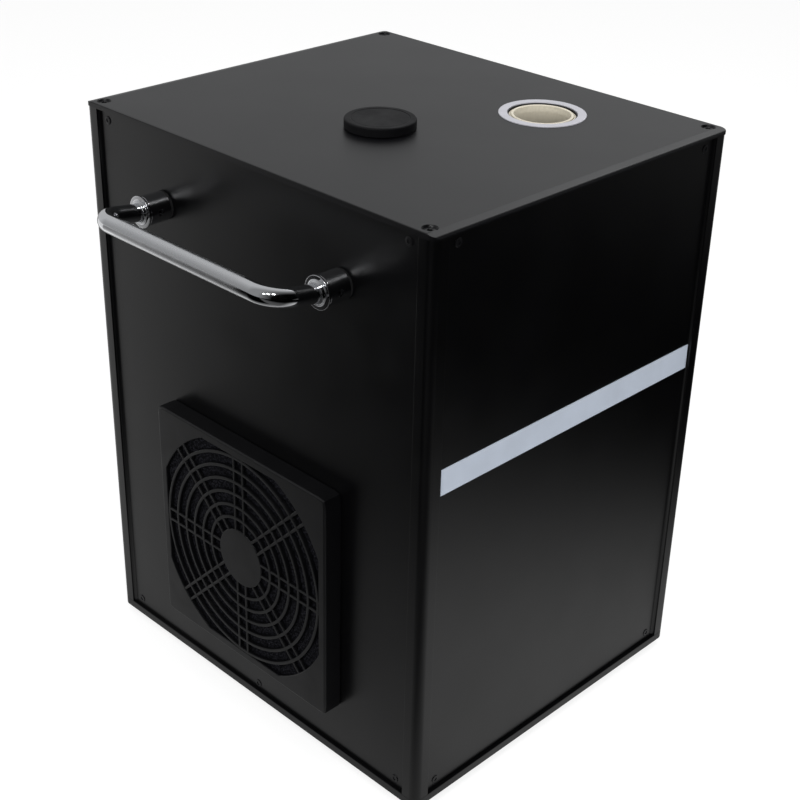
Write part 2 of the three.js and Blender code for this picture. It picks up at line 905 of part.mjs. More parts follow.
// A twisted blade: its chord grows and its pitch flattens from the hub to the tip.
function fanBlade() {
  const rings = [];
  const root = impellerHubRadius - bladeThickness;
  for (let i = 0; i <= bladeStations; i += 1) {
    const share = i / bladeStations;
    const radius = root + (impellerRadius - root) * share;
    const chord = bladeRootChord + (bladeTipChord - bladeRootChord) * share;
    const pitch = bladeRootPitch + (bladeTipPitch - bladeRootPitch) * share;
    rings.push(rectangle(chord, bladeThickness).map(({ x: along, y: thick }) => {
      const angle = (along * Math.cos(pitch) - thick * Math.sin(pitch)) / radius;
      const height = along * Math.sin(pitch) + thick * Math.cos(pitch);
      const level = height + impellerDepth / 2;
      return new THREE.Vector3(radius * Math.cos(angle), radius * Math.sin(angle), level);
    }));
  }
  return lofted(rings);
}

function fanImpeller() {
  const blades = [];
  for (let i = 0; i < bladeCount; i += 1) {
    const blade = fanBlade();
    blade.rotateZ(i * 2 * Math.PI / bladeCount);
    blades.push(blade);
  }
  const hub = bar(impellerHubRadius, 0, impellerDepth, fanSides);
  const bore = bar(fanPinRadius + runGap, -cutOverrun, fanPinLength, bossSides);
  const geometry = shaped([hub, ...blades], [bore]);
  const start = -panelThickness - fanDepth + fanStrutDepth + runGap;
  return piece('fan_impeller', geometry, blackPlastic(), fanOffset, fanLevel, start);
}

// Filler cap, neck and hopper, with height zero at the top plate's upper face

function fillerCap() {
  const plug = neckBoreRadius - runGap;
  const skirtInner = neckRimRadius + runGap;
  const profile = [
    [0, capTop],
    [capRadius - capEdge, capTop],
    [capRadius, capTop - capEdge],
    [capRadius, seatGap],
    [skirtInner, seatGap],
    [skirtInner, capSkin],
    [plug, capSkin],
    [plug, -capPlugDepth],
    [plug - capPlugWall, -capPlugDepth],
    [plug - capPlugWall, capSkin],
    [0, capSkin],
  ];
  return piece('filler_cap', revolved(profile, lathSides), blackPlastic(), fillerX, fillerY, topOuter);
}

function fillerNeck() {
  const profile = [
    [neckBoreRadius, -neckLength],
    [neckRadius, -neckLength],
    [neckRadius, 0],
    [neckRimRadius, 0],
    [neckRimRadius, neckRimHeight],
    [neckBoreRadius, neckRimHeight],
  ];
  return piece('filler_neck', revolved(profile, lathSides), bareSteel(), fillerX, fillerY, topOuter);
}

// The hopper hangs below the neck: a lid, a straight wall and a cone down to the outlet pipe.
function hopper() {
  const lidBore = neckRadius + runGap;
  const coneTop = -hopperStraight;
  const coneBottom = coneTop - hopperConeHeight;
  const outletBottom = feedLevel + portHeight - portOverlap - hopperLidTop;
  const profile = [
    [lidBore, 0],
    [hopperRadius, 0],
    [hopperRadius, coneTop],
    [hopperOutletRadius, coneBottom],
    [hopperOutletRadius, outletBottom],
    [hopperOutletRadius - hopperWall, outletBottom],
    [hopperOutletRadius - hopperWall, coneBottom],
    [hopperRadius - hopperWall, coneTop],
    [hopperRadius - hopperWall, -hopperWall],
    [lidBore, -hopperWall],
  ];
  return piece('hopper', revolved(profile, innerSides), bareSteel(), fillerX, fillerY, hopperLidTop);
}

// Spark nozzle

function nozzleRing() {
  const outline = circle(0, 0, nozzleRingRadius, lathSides);
  const bore = circle(0, 0, nozzleRingBore, lathSides);
  const geometry = plate(outline, [bore], 0, nozzleRingHeight);
  return piece('nozzle_ring', geometry, whiteEnamel(), nozzleX, nozzleY, topOuter);
}

function nozzleTube() {
  const profile = [
    [nozzleBoreRadius, 0],
    [nozzleTubeRadius, 0],
    [nozzleTubeRadius, nozzleTubeLength - nozzleRimHeight],
    [nozzleRimRadius, nozzleTubeLength - nozzleRimHeight],
    [nozzleRimRadius, nozzleTubeLength],
    [nozzleMouthRadius, nozzleTubeLength],
    [nozzleBoreRadius, nozzleTubeLength - nozzleMouthDepth],
  ];
  const geometry = revolved(profile, lathSides);
  return piece('nozzle_tube', geometry, creamCeramic(), nozzleX, nozzleY, nozzleTubeBottom);
}

// Powder feed: drawn along x from under the filler to the heating chamber, with z zero at the auger.

function heatingChamber() {
  const socket = nozzleTubeRadius + runGap;
  const profile = [
    [nozzleBoreRadius, 0],
    [chamberFootRadius, 0],
    [chamberFootRadius, chamberFootHeight],
    [chamberRadius, chamberFootHeight],
    [chamberRadius, collarLevel],
    [collarRadius, collarLevel],
    [collarRadius, collarLevel + collarHeight],
    [chamberRadius, collarLevel + collarHeight],
    [chamberRadius, chamberHeight],
    [socket, chamberHeight],
    [socket, chamberHeight - chamberSocketDepth],
    [nozzleBoreRadius, chamberHeight - chamberSocketDepth],
  ];
  const inlet = bar(barrelRadius + runGap, 0, chamberRadius + cutOverrun, bossSides);
  inlet.rotateY(-quarterTurn);
  inlet.translate(0, 0, feedLevel - chamberBottom);
  const geometry = shaped([revolved(profile, innerSides)], [inlet]);
  return piece('heating_chamber', geometry, bareSteel(), feedDistance, 0, chamberBottom - feedLevel);
}

function heaterSleeve() {
  const bore = circle(0, 0, chamberRadius + runGap, innerSides);
  const start = collarLevel + collarHeight;
  const end = chamberHeight - sleeveTopDrop;
  const geometry = plate(circle(0, 0, sleeveRadius, innerSides), [bore], start, end);
  return piece('heater_sleeve', geometry, woolJacket(), feedDistance, 0, chamberBottom - feedLevel);
}

function alongX(geometry) {
  geometry.rotateY(quarterTurn);
  return geometry;
}

function feedBarrel() {
  const end = feedDistance - nozzleBoreRadius - seatGap;
  const start = -barrelTail;
  const tube = alongX(bar(barrelRadius, start, end, bossSides));
  const port = bar(portRadius, 0, portHeight, bossSides);
  const bore = alongX(bar(barrelBore, start + barrelEndWall, end + cutOverrun, bossSides));
  const shaftHole = alongX(bar(augerShaftRadius + runGap, start - cutOverrun, 0, augerSides));
  const portBore = bar(hopperOutletRadius + runGap, barrelBore, portHeight + cutOverrun, bossSides);
  const throat = bar(hopperOutletRadius - hopperWall, 0, barrelBore + cutOverrun, bossSides);
  return piece('feed_barrel', shaped([tube, port], [bore, shaftHole, portBore, throat]), bareSteel());
}

// One unbroken flight that winds along x round the shaft.
function augerFlightGeometry(start, end) {
  const outer = barrelBore - runGap;
  const inner = augerShaftRadius / 2;
  const steps = Math.ceil((end - start) / augerPitch * augerStepsPerTurn);
  const rings = [];
  for (let i = 0; i <= steps; i += 1) {
    const x = start + (end - start) * i / steps;
    const angle = 2 * Math.PI * (x - start) / augerPitch;
    const radial = new THREE.Vector3(0, Math.cos(angle), Math.sin(angle));
    rings.push([
      radial.clone().multiplyScalar(inner).setX(x),
      radial.clone().multiplyScalar(outer).setX(x),
      radial.clone().multiplyScalar(outer).setX(x + augerFlight),
      radial.clone().multiplyScalar(inner).setX(x + augerFlight),
    ]);
  }
  return lofted(rings);
}

function feedAuger() {
  const end = feedDistance - nozzleBoreRadius - augerFlight - seatGap;
  const start = -barrelTail + barrelEndWall + runGap;
  const shaftStart = -barrelTail - motorGap - motorBoreDepth + runGap;
  const shaft = alongX(bar(augerShaftRadius, shaftStart, end, augerSides));
  return piece('feed_auger', shaped([shaft, augerFlightGeometry(start, end - augerFlight)]), bareSteel());
}

function feedCoupling() {
  const middle = -barrelTail - motorGap / 2;
  const outline = circle(0, 0, couplingRadius, bossSides);
  const bore = circle(0, 0, augerShaftRadius + runGap, augerSides);
  const geometry = alongX(plate(outline, [bore], -couplingLength / 2, couplingLength / 2));
  return piece('feed_coupling', geometry, bareSteel(), middle);
}

function feedMotor() {
  const half = gearboxSize / 2;
  const face = -barrelTail - motorGap;
  const gearboxEnd = face - gearboxLength;
  const gearbox = block(gearboxEnd, face, -half, half, -half, half);
  const can = alongX(bar(motorCanRadius, gearboxEnd - motorCanLength, gearboxEnd + cutOverrun, bossSides));
  const bore = alongX(bar(augerShaftRadius + runGap, face - motorBoreDepth, face + cutOverrun, augerSides));
  return piece('feed_motor', shaped([gearbox, can], [bore]), blackSteel());
}

function feedGroup() {
  const group = new THREE.Group();
  group.position.set(fillerX, fillerY, feedLevel);
  group.rotation.z = feedAngle;
  group.add(heatingChamber(), heaterSleeve(), feedBarrel(), feedAuger(), feedCoupling(), feedMotor());
  return group;
}

// Bridge: a table of folded sheet that stands on the base plate.
function innerBridge() {
  const under = bridgeLevel - bridgeThickness;
  const blocks = [block(bridgeMinX, bridgeMaxX, bridgeMinY, bridgeMaxY, under, bridgeLevel)];
  for (const start of [bridgeMinX, bridgeMaxX - bridgeLegWidth]) {
    const end = start + bridgeLegWidth;
    blocks.push(block(start, end, bridgeMinY, bridgeMinY + bridgeThickness, baseTop, bridgeLevel));
    blocks.push(block(start, end, bridgeMaxY - bridgeThickness, bridgeMaxY, baseTop, bridgeLevel));
    const footTop = baseTop + bridgeThickness;
    blocks.push(block(start, end, bridgeMinY - bridgeFootWidth, bridgeMinY, baseTop, footTop));
    blocks.push(block(start, end, bridgeMaxY, bridgeMaxY + bridgeFootWidth, baseTop, footTop));
  }
  for (const geometry of blocks) {
    geometry.translate(0, 0, -baseTop);
  }
  const airHole = bar(airHoleRadius, 0, bridgeLevel, innerSides, nozzleX, nozzleY);
  return piece('inner_bridge', shaped(blocks, [airHole]), zincSheet(), 0, 0, baseTop);
}

// Blower: a scroll round a wheel, drawn as seen from the front, with its outlet up under the bridge.

// The scroll's outline grows by a wall's thickness for its outside.
function scrollOutline(grow, top) {
  const points = [];
  for (let i = 0; i <= scrollSteps; i += 1) {
    const share = i / scrollSteps;
    const angle = quarterTurn + share * 3 * quarterTurn;
    const radius = scrollStart + (scrollEnd - scrollStart) * share + grow;
    points.push(new THREE.Vector2(radius * Math.cos(angle), radius * Math.sin(angle)));
  }
  points.push(new THREE.Vector2(scrollEnd + grow, top));
  points.push(new THREE.Vector2(tongueX - grow, top));
  points.push(new THREE.Vector2(tongueX - grow, scrollStart));
  return points;
}

function blowerHousing() {
  const half = blowerDepth / 2;
  const outletX = (tongueX + scrollEnd) / 2;
  const flangeStart = blowerDrop - blowerFlangeThickness;
  const shell = plate(scrollOutline(blowerWall, flangeStart), [], -half, half);
  const flange = block(
    outletX - blowerFlangeWidth / 2,
    outletX + blowerFlangeWidth / 2,
    flangeStart,
    blowerDrop,
    -blowerFlangeDepth / 2,
    blowerFlangeDepth / 2,
  );
  const hollow = plate(scrollOutline(0, blowerDrop + cutOverrun), [], -half + blowerWall, half - blowerWall);
  const intake = bar(intakeRadius, 0, half + cutOverrun, wheelSides);
  const pin = bar(blowerPinRadius, -half + blowerWall / 2, -half + blowerWall + blowerPinLength, augerSides);
  const cut = shaped([shell, flange], [hollow, intake]);
  return piece('blower_housing', shaped([cut, pin]), blackPlastic());
}

function blowerWheel() {
  const disc = bar(wheelRadius, 0, wheelDisc, wheelSides);
  const hub = bar(wheelHubRadius, 0, wheelHubHeight, augerSides);
  const blades = [];
  for (let i = 0; i < wheelBladeCount; i += 1) {
    const inner = wheelRadius - wheelBladeDepth;
    const half = wheelBladeThickness / 2;
    const blade = block(inner, wheelRadius - half, -half, half, wheelDisc / 2, wheelHeight);
    blade.rotateZ(i * 2 * Math.PI / wheelBladeCount);
    blades.push(blade);
  }
  const outline = circle(0, 0, wheelRadius, wheelSides);
  const inner = circle(0, 0, wheelRadius - wheelDisc, wheelSides);
  const ring = plate(outline, [inner], wheelHeight - wheelDisc, wheelHeight);
  const bore = bar(blowerPinRadius + runGap, -cutOverrun, blowerPinLength - runGap, augerSides);
  const geometry = shaped([disc, hub, ring, ...blades], [bore]);
  return piece('blower_wheel', geometry, blackPlastic(), 0, 0, -blowerDepth / 2 + blowerWall + seatGap);
}

function blowerGroup() {
  const group = new THREE.Group();
  const under = bridgeLevel - bridgeThickness;
  group.position.set(nozzleX - (tongueX + scrollEnd) / 2, nozzleY, under - blowerDrop);
  group.rotation.x = quarterTurn;
  group.add(blowerHousing(), blowerWheel());
  return group;
}

// Power supply on the base plate, with its terminal block at the rear end
function powerSupply() {
  const halfX = supplyWidth / 2;
  const halfY = supplyLength / 2;
  const box = block(-halfX, halfX, -halfY, halfY, 0, supplyHeight);
  const recess = block(
    -terminalWidth / 2,
    terminalWidth / 2,
    halfY - terminalLength,
    halfY + cutOverrun,
    supplyHeight - terminalDrop,
    supplyHeight + cutOverrun,
  );
  return piece('power_supply', shaped([box], [recess]), zincSheet(), supplyX, supplyY, baseTop);
}

// Rear controls, drawn as seen from behind

function rearPanel() {
  const windowEdge = screenMargin + runGap;
  const holes = [
    rectangle(windowWidth + 2 * windowEdge, windowHeight + 2 * windowEdge, 0, displayLevel),
    rectangle(
      switchWindowWidth + 2 * (switchWall + runGap),
      switchWindowHeight + 2 * (switchWall + runGap),
      switchX,
      powerLevel,
    ),
    rectangle(inletBodyWidth + 2 * runGap, inletBodyHeight + 2 * runGap, inletX, powerLevel),
    circle(fuseX, powerLevel, fuseTubeRadius + runGap, fuseSides),
    circle(-socketX, socketLevel, socketShellRadius + runGap, socketSides),
    circle(socketX, socketLevel, socketShellRadius + runGap, socketSides),
    ...buttonPlaces().map((x) => circle(x, buttonLevel, buttonRadius + runGap, buttonSides)),
  ];
  return piece('rear_panel', plate(panelOutline(bodyWidth), holes, -panelThickness, 0), casePaint());
}

function displayBezel() {
  const outline = roundedRectangle(bezelWidth, bezelHeight, bezelCornerRadius, cornerSteps);
  const geometry = plate(outline, [rectangle(windowWidth, windowHeight)], 0, bezelThickness);
  return piece('display_bezel', geometry, glossPlastic(), 0, displayLevel, 0);
}

function displayScreen() {
  const outline = rectangle(windowWidth + 2 * screenMargin, windowHeight + 2 * screenMargin);
  return piece('display_screen', plate(outline, [], -screenDepth, 0), darkGlass(), 0, displayLevel, 0);
}

function buttonPlaces() {
  const first = -(buttonNames.length - 1) * buttonPitch / 2;
  return buttonNames.map((name, i) => first + i * buttonPitch);
}

// A button's flange stands just behind the panel and keeps it in.
function button(name, x) {
  const flangeTop = -panelThickness - seatGap;
  const profile = [
    [0, flangeTop - buttonFlangeThickness],
    [buttonFlangeRadius, flangeTop - buttonFlangeThickness],
    [buttonFlangeRadius, flangeTop],
    [buttonRadius, flangeTop],
    [buttonRadius, buttonTop - buttonEdge],
    [buttonRadius - buttonEdge, buttonTop],
    [0, buttonTop],
  ];
  return piece('button_' + name, revolved(profile, buttonSides), blackRubber(), x, buttonLevel, 0);
}

// The board stands off the rear panel's back, with the parts on its far side.
function controlBoard() {
  const face = -panelThickness - standoffHeight;
  const back = face - boardThickness;
  const board = plate(rectangle(boardWidth, boardHeight), [], back, face);
  const x = boardWidth / 2 - standoffInset;
  const y = boardHeight / 2 - standoffInset;
  const standoffs = [[-x, -y], [x, -y], [x, y], [-x, y]].map(([cx, cy]) => {
    return bar(standoffRadius, face - boardThickness / 2, -panelThickness, smallSides, cx, cy);
  });
  const chips = [-1, 0, 1].map((place) => {
    const middle = place * chipSpacing;
    const end = back + boardThickness / 2;
    const start = middle - chipWidth / 2;
    return block(start, start + chipWidth, -chipHeight / 2, chipHeight / 2, back - chipDepth, end);
  });
  return piece('control_board', shaped([board, ...standoffs, ...chips]), greenBoard(), 0, boardLevel, 0);
}

function powerSwitchFrame() {
  const outline = roundedRectangle(switchFrameWidth, switchFrameHeight, switchCornerRadius, cornerSteps);
  const rim = plate(outline, [], 0, switchRim);
  const halfX = switchWindowWidth / 2 + switchWall;
  const halfY = switchWindowHeight / 2 + switchWall;
  const shell = block(-halfX, halfX, -halfY, halfY, -switchDepth, switchRim / 2);
  const hollow = plate(
    rectangle(switchWindowWidth, switchWindowHeight),
    [],
    -switchDepth + switchWall,
    switchRim + cutOverrun,
  );
  const pinHole = alongX(bar(rockerPinRadius + runGap, -halfX - cutOverrun, halfX + cutOverrun, augerSides));
  pinHole.translate(0, 0, -rockerPivotDepth);
  const geometry = shaped([rim, shell], [hollow, pinHole]);
  return piece('power_switch_frame', geometry, blackPlastic(), switchX, powerLevel, 0);
}

// The rocker is drawn level about its pivot, and rests tilted with its lower end pressed in.
function powerRocker() {
  const half = switchWindowWidth / 2 - rockerSideGap;
  const end = switchWindowHeight / 2 - rockerEndGap;
  const skirt = end - rockerSideGap;
  const section = [
    [-end, rockerPivotDepth + rockerEndHeight],
    [-skirt, rockerPivotDepth - rockerSkirtDepth],
    [-rockerBellyHalf, rockerPivotDepth - rockerBellyDepth],
    [rockerBellyHalf, rockerPivotDepth - rockerBellyDepth],
    [skirt, rockerPivotDepth - rockerSkirtDepth],
    [end, rockerPivotDepth + rockerEndHeight],
    [0, rockerPivotDepth + rockerMidHeight],
  ].map(([y, z]) => new THREE.Vector2(-z, y));
  const cap = alongX(plate(section, [], -half, half));
  const pin = alongX(bar(rockerPinRadius, -half - rockerPinLength, half + rockerPinLength, augerSides));
  const geometry = shaped([cap, pin]);
  const mesh = piece('power_rocker', geometry, redPlastic(), switchX, powerLevel, -rockerPivotDepth);
  mesh.rotation.x = rockerTilt;
  return mesh;
}

// The inlet's well has two cut corners at its top, and three flat pins on its floor.
function powerInlet() {
  const flangeOutline = roundedRectangle(inletFlangeWidth, inletFlangeHeight, inletFlangeRadius, cornerSteps);
  const flange = plate(flangeOutline, [], 0, inletFlangeThickness);
  const shellTop = inletFlangeThickness / 2;
  const shell = plate(rectangle(inletBodyWidth, inletBodyHeight), [], -inletBodyDepth, shellTop);
  const x = inletWellWidth / 2;
  const y = inletWellHeight / 2;
  const wellOutline = [
    [-x, -y],
    [x, -y],
    [x, y - inletWellChamfer],
    [x - inletWellChamfer, y],
    [-x + inletWellChamfer, y],
    [-x, y - inletWellChamfer],
  ].map(([u, v]) => new THREE.Vector2(u, v));
  const floor = inletFlangeThickness - inletWellDepth;
  const well = plate(wellOutline, [], floor, inletFlangeThickness + cutOverrun);
  const cut = shaped([flange, shell], [well]);
  const pins = [[-1, -1], [0, 1], [1, -1]].map(([across, up]) => {
    const middleX = across * inletPinPitch;
    const middleY = up * inletPinDrop;
    const outline = rectangle(inletPinWidth, inletPinHeight, middleX, middleY);
    return plate(outline, [], floor - inletPinWidth / 2, floor + inletPinLength);
  });
  return piece('power_inlet', shaped([cut, ...pins]), blackPlastic(), inletX, powerLevel, 0);
}

function fuseHolder() {
  const profile = [
    [0, -fuseDepth],
    [fuseTubeRadius, -fuseDepth],
    [fuseTubeRadius, 0],
    [fuseRimRadius, 0],
    [fuseRimRadius, fuseRimThickness],
    [fuseBoreRadius, fuseRimThickness],
    [fuseBoreRadius, fuseFloor - fuseDepth],
    [0, fuseFloor - fuseDepth],
  ];
  return piece('fuse_holder', revolved(profile, fuseSides), blackPlastic(), fuseX, powerLevel, 0);
}

function fuseCap() {
  const start = fuseRimThickness + seatGap;
  const knob = bar(fuseCapRadius, start, start + fuseCapHeight, fuseSides);
  const plug = bar(fuseBoreRadius - runGap, start - fusePlugLength, start + fuseCapHeight / 2, fuseSides);
  const slotHalf = fuseSlotWidth / 2;
  const slot = block(
    -slotHalf,
    slotHalf,
    -fuseCapRadius - cutOverrun,
    fuseCapRadius + cutOverrun,
    start + fuseCapHeight - fuseSlotDepth,
    start + fuseCapHeight + cutOverrun,
  );
  return piece('fuse_cap', shaped([knob, plug], [slot]), glossPlastic(), fuseX, powerLevel, 0);
}

function contactPlaces() {
  const places = [];
  for (let i = 0; i < contactCount; i += 1) {
    const angle = quarterTurn + i * 2 * Math.PI / contactCount;
    places.push([socketPinCircle * Math.cos(angle), socketPinCircle * Math.sin(angle)]);
  }
  return places;
}

function socketShell(wellDepth) {
  const [width, height] = [socketFlangeWidth, socketFlangeHeight];
  const outline = roundedRectangle(width, height, socketFlangeRadius, cornerSteps);
  const flange = plate(outline, [], 0, socketFlangeThickness);
  const shell = bar(socketShellRadius, -socketShellDepth, socketFlangeThickness / 2, socketSides);
  const top = socketFlangeThickness;
  const well = bar(socketWellRadius, top - wellDepth, top + cutOverrun, socketSides);
  return shaped([flange, shell], [well]);
}

// The socket that takes the signal in has pins in a deep well.
function signalInSocket() {
  const floor = socketFlangeThickness - socketWellDepth;
  const pins = contactPlaces().map(([x, y]) => {
    return bar(socketPinRadius, floor - socketPinRadius, floor + socketPinLength, smallSides, x, y);
  });
  const geometry = shaped([socketShell(socketWellDepth), ...pins]);
  return piece('signal_in_socket', geometry, blackSteel(), -socketX, socketLevel, 0);
}

// The socket that passes the signal on has holes in a shallow dish.
function signalOutSocket() {
  const floor = socketFlangeThickness - socketDishDepth;
  const holes = contactPlaces().map(([x, y]) => {
    return bar(socketHoleRadius, floor - socketHoleDepth, floor + cutOverrun, smallSides, x, y);
  });
  const geometry = shaped([socketShell(socketDishDepth)], holes);
  return piece('signal_out_socket', geometry, blackSteel(), socketX, socketLevel, 0);
}

// Assembly

const front = side(panelFaceY, 0);
front.add(frontPanel(), frontStripe());

const left = side(panelFaceX, -quarterTurn);
left.add(leftPanel(), handle('left', ['rear', 'front']));
left.add(fanGuard(), filter(), guardBase(), fanFrame(), fanImpeller());

const right = side(panelFaceX, quarterTurn);
right.add(rightPanel(), handle('right', ['front', 'rear']));

const rear = side(panelFaceY, Math.PI);
rear.add(rearPanel(), displayBezel(), displayScreen(), controlBoard());
buttonPlaces().forEach((x, i) => rear.add(button(buttonNames[i], x)));
rear.add(powerSwitchFrame(), powerRocker(), powerInlet(), fuseHolder(), fuseCap());
rear.add(signalInSocket(), signalOutSocket());

const machine = new THREE.Group();
machine.add(basePlate(), topPlate(), front, left, right, rear);
for (const place of screwPlaces()) {
  machine.add(cornerPost(place), topScrew(place), foot(place));
}
machine.add(fillerCap(), fillerNeck(), hopper(), nozzleRing(), nozzleTube());
machine.add(feedGroup(), innerBridge(), blowerGroup(), powerSupply());

// The origin is on the floor, midway between the front and the furthest piece at the rear.
const rearReach = panelFaceY + fuseRimThickness + seatGap + fuseCapHeight;
machine.position.y = (halfDepth - rearReach) / 2;

const part = new THREE.Group();
part.add(machine);

export default part;
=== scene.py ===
"""Dresses the packed cold spark machine with detailed pieces, procedural finishes and a plain studio."""

import json
import math
from collections import namedtuple

import bmesh
import bpy
from bpy.props import FloatProperty, FloatVectorProperty, IntProperty, PointerProperty
from mathutils import Matrix, Vector


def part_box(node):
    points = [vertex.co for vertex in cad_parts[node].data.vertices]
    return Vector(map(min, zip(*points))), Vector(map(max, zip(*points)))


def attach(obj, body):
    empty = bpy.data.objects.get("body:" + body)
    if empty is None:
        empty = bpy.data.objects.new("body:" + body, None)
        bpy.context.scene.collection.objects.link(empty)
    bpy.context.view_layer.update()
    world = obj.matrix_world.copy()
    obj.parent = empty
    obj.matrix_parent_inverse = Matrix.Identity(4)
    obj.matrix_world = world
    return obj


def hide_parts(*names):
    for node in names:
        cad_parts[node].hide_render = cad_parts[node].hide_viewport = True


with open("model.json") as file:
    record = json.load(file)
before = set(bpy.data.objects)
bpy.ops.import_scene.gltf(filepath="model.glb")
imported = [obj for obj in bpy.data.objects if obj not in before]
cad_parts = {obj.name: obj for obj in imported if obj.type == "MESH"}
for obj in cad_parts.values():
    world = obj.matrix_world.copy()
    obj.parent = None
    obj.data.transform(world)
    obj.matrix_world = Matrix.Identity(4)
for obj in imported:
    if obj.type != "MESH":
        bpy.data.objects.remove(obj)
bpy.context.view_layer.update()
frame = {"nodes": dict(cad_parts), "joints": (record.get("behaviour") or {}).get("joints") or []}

bl_info = {
    "name": "Cold Spark Machine",
    "version": (1, 0, 0),
    "blender": (4, 5, 0),
    "location": "3D View > Sidebar > Spark",
    "description": "Builds the detailed pieces and finishes of a cold spark machine around its frame",
    "category": "Object",
}

Span = namedtuple("Span", "width height back front")
Screw = namedtuple("Screw", "radius taper socket depth")

MM = 0.001
QUARTER = math.pi / 2
SHARP_EDGE = math.radians(34)
CAMERA_PLACE = (-0.503044, -0.495115, 0.528799)
CAMERA_TURN = [math.radians(angle) for angle in (61.554, -1.2721, -45.0616)]
# Each lamp's place, its width in metres, the setting of its power, and whether reflections show it.
LAMPS = {
    "top_lamp": ((0.1, -0.1, 1.5), 1.2, "top_power", False),
    "left_lamp": ((-1.5, 0.3, 0.9), 0.9, "left_power", False),
    "front_lamp": ((-0.6, -1.5, 0.9), 0.9, "front_power", False),
    "ceiling_lamp_1": ((-1.16, -0.24, 1.3), 0.16, "ceiling_power", True),
    "ceiling_lamp_2": ((-0.86, -0.4, 1.3), 0.16, "ceiling_power", True),
    "ceiling_lamp_3": ((-0.56, -0.56, 1.3), 0.16, "ceiling_power", True),
}
LAMP_TARGET = Vector((0, 0, 0.15))
FINE_ROUND = 96
ROUND = 72
MEDIUM_ROUND = 48
SMALL_ROUND = 32
FUSE_RIBS = 20
INLET_SCREW = Screw(3.1 * MM, 1.4 * MM, 1.1 * MM, 0.8 * MM)
SOCKET_SCREW = Screw(2.3 * MM, 1 * MM, 0.85 * MM, 0.7 * MM)
ROCKER_TILT = math.radians(7)
ROCKER_BEND = 8
WHITE = (1, 1, 1, 1)
WINDOW_STRENGTH = 2.4
SIDE_TURNS = {"front": 0, "left": -QUARTER, "rear": math.pi, "right": QUARTER}
# A grip is satin up to these distances from its middle, and above these heights over the panel.
GRIP_END = (41 * MM, 47 * MM)
GRIP_HEIGHT = (28 * MM, 32 * MM)
ENDS = ("front_left", "front_right", "rear_left", "rear_right")


def linear(code):
    """Turns an sRGB hex colour into linear red, green and blue."""
    parts = [int(code[i:i + 2], 16) / 255 for i in (1, 3, 5)]
    return [c / 12.92 if c <= 0.04045 else ((c + 0.055) / 1.055) ** 2.4 for c in parts]


def length(description, millimetres):
    return FloatProperty(description=description, default=millimetres * MM, unit="LENGTH")


def power(description, watts):
    return FloatProperty(description=description, default=watts, unit="POWER")


def colour(description, code):
    return FloatVectorProperty(description=description, default=linear(code), subtype="COLOR", min=0, max=1)


class SparkColours(bpy.types.PropertyGroup):
    """Base colours of the finishes."""

    powder_coat: colour("Case panels, posts and base", "#040405")
    top_anodising: colour("Black anodised top plate", "#070709")
    chrome: colour("Handles and their bosses", "#e6e7ea")
    film: colour("Satin film across the front", "#bcc5d3")
    nylon: colour("Fan guard and other moulded black parts", "#060608")
    cap: colour("Filler cap", "#0b0b0d")
    gloss: colour("Display bezel and fuse cap", "#0a0a0b")
    foam: colour("Filter foam", "#18181c")
    rubber: colour("Feet and buttons", "#121213")
    oxide: colour("Screws and sockets", "#0c0c0e")
    enamel: colour("Ring round the nozzle", "#bbbbc2")
    ceramic: colour("Nozzle tube", "#d6cfbd")
    steel: colour("Hopper, chamber and feed", "#a9abae")
    zinc: colour("Bridge and power supply", "#b4b8bc")
    fibre: colour("Jacket of the heating chamber", "#ded8ca")
    board: colour("Solder mask of the control board", "#12502a")
    window: colour("Glass of the display", "#07110f")
    rocker: colour("Power rocker", "#a4120e")
    contact: colour("Plating of the sockets' pins", "#a79c82")
    worn_contact: colour("Brass that shows through the plating", "#c9bfa6")
    mark: colour("Printed marks on the controls", "#d8d8d4")


class SparkCasing(bpy.types.PropertyGroup):
    """Sizes of the casing's edges and fasteners."""

    corner: length("Radius of the upright corners", 4.5)
    edge: length("Rounding of the top plate's rim", 0.5)
    plate_corner: length("Radius of the top plate's corners", 3.4)
    bevel_width: length("Width of the bevels along the top plate's front and rear", 4.8)
    bevel_height: length("Height of those bevels", 0.8)
    lip: length("Rounding of a post's edge beside a panel", 0.2)
    cove: length("Width of the hollow rounding between a post and a panel", 2.2)
    base_edge: length("Rounding of the base plate's rim", 0.35)
    post_face: length("Width of a post's outer face", 9)
    post_core: length("Depth of a post's core", 12)
    post_flange: length("Reach of the flange behind a panel", 21)
    flange: length("Thickness of the flange", 2)
    recess: length("Step from a post's face to a panel", 1.8)
    panel: length("Thickness of a panel", 1.5)
    screw_head: length("Radius of a countersunk head", 2.8)
    screw_sink: length("Depth of a countersunk head", 1.6)
    screw_shank: length("Radius of a screw's shank", 1.5)
    screw_gap: length("Gap round a screw's head", 0.15)
    screw_drop: length("How far a countersunk head lies below the top", 0.9)
    countersink: length("Radius of the countersink at the top", 3.6)
    socket: length("Half width of a screw's hexagon socket", 1.15)
    socket_depth: length("Depth of a screw's hexagon socket", 1.0)
    panel_screw: length("Radius of a panel screw's head", 2.1)
    screw_proud: length("Height of a panel screw's head", 0.35)
    panel_socket: length("Half width of its hexagon socket", 0.95)
    screw_offset: length("How far the middle screw lies below the others", 1.2)
    screw_inset: length("Distance of a panel screw from the post's face", 6.5)
    screw_rise: length("Distance of a panel screw from the panel's end", 4.6)


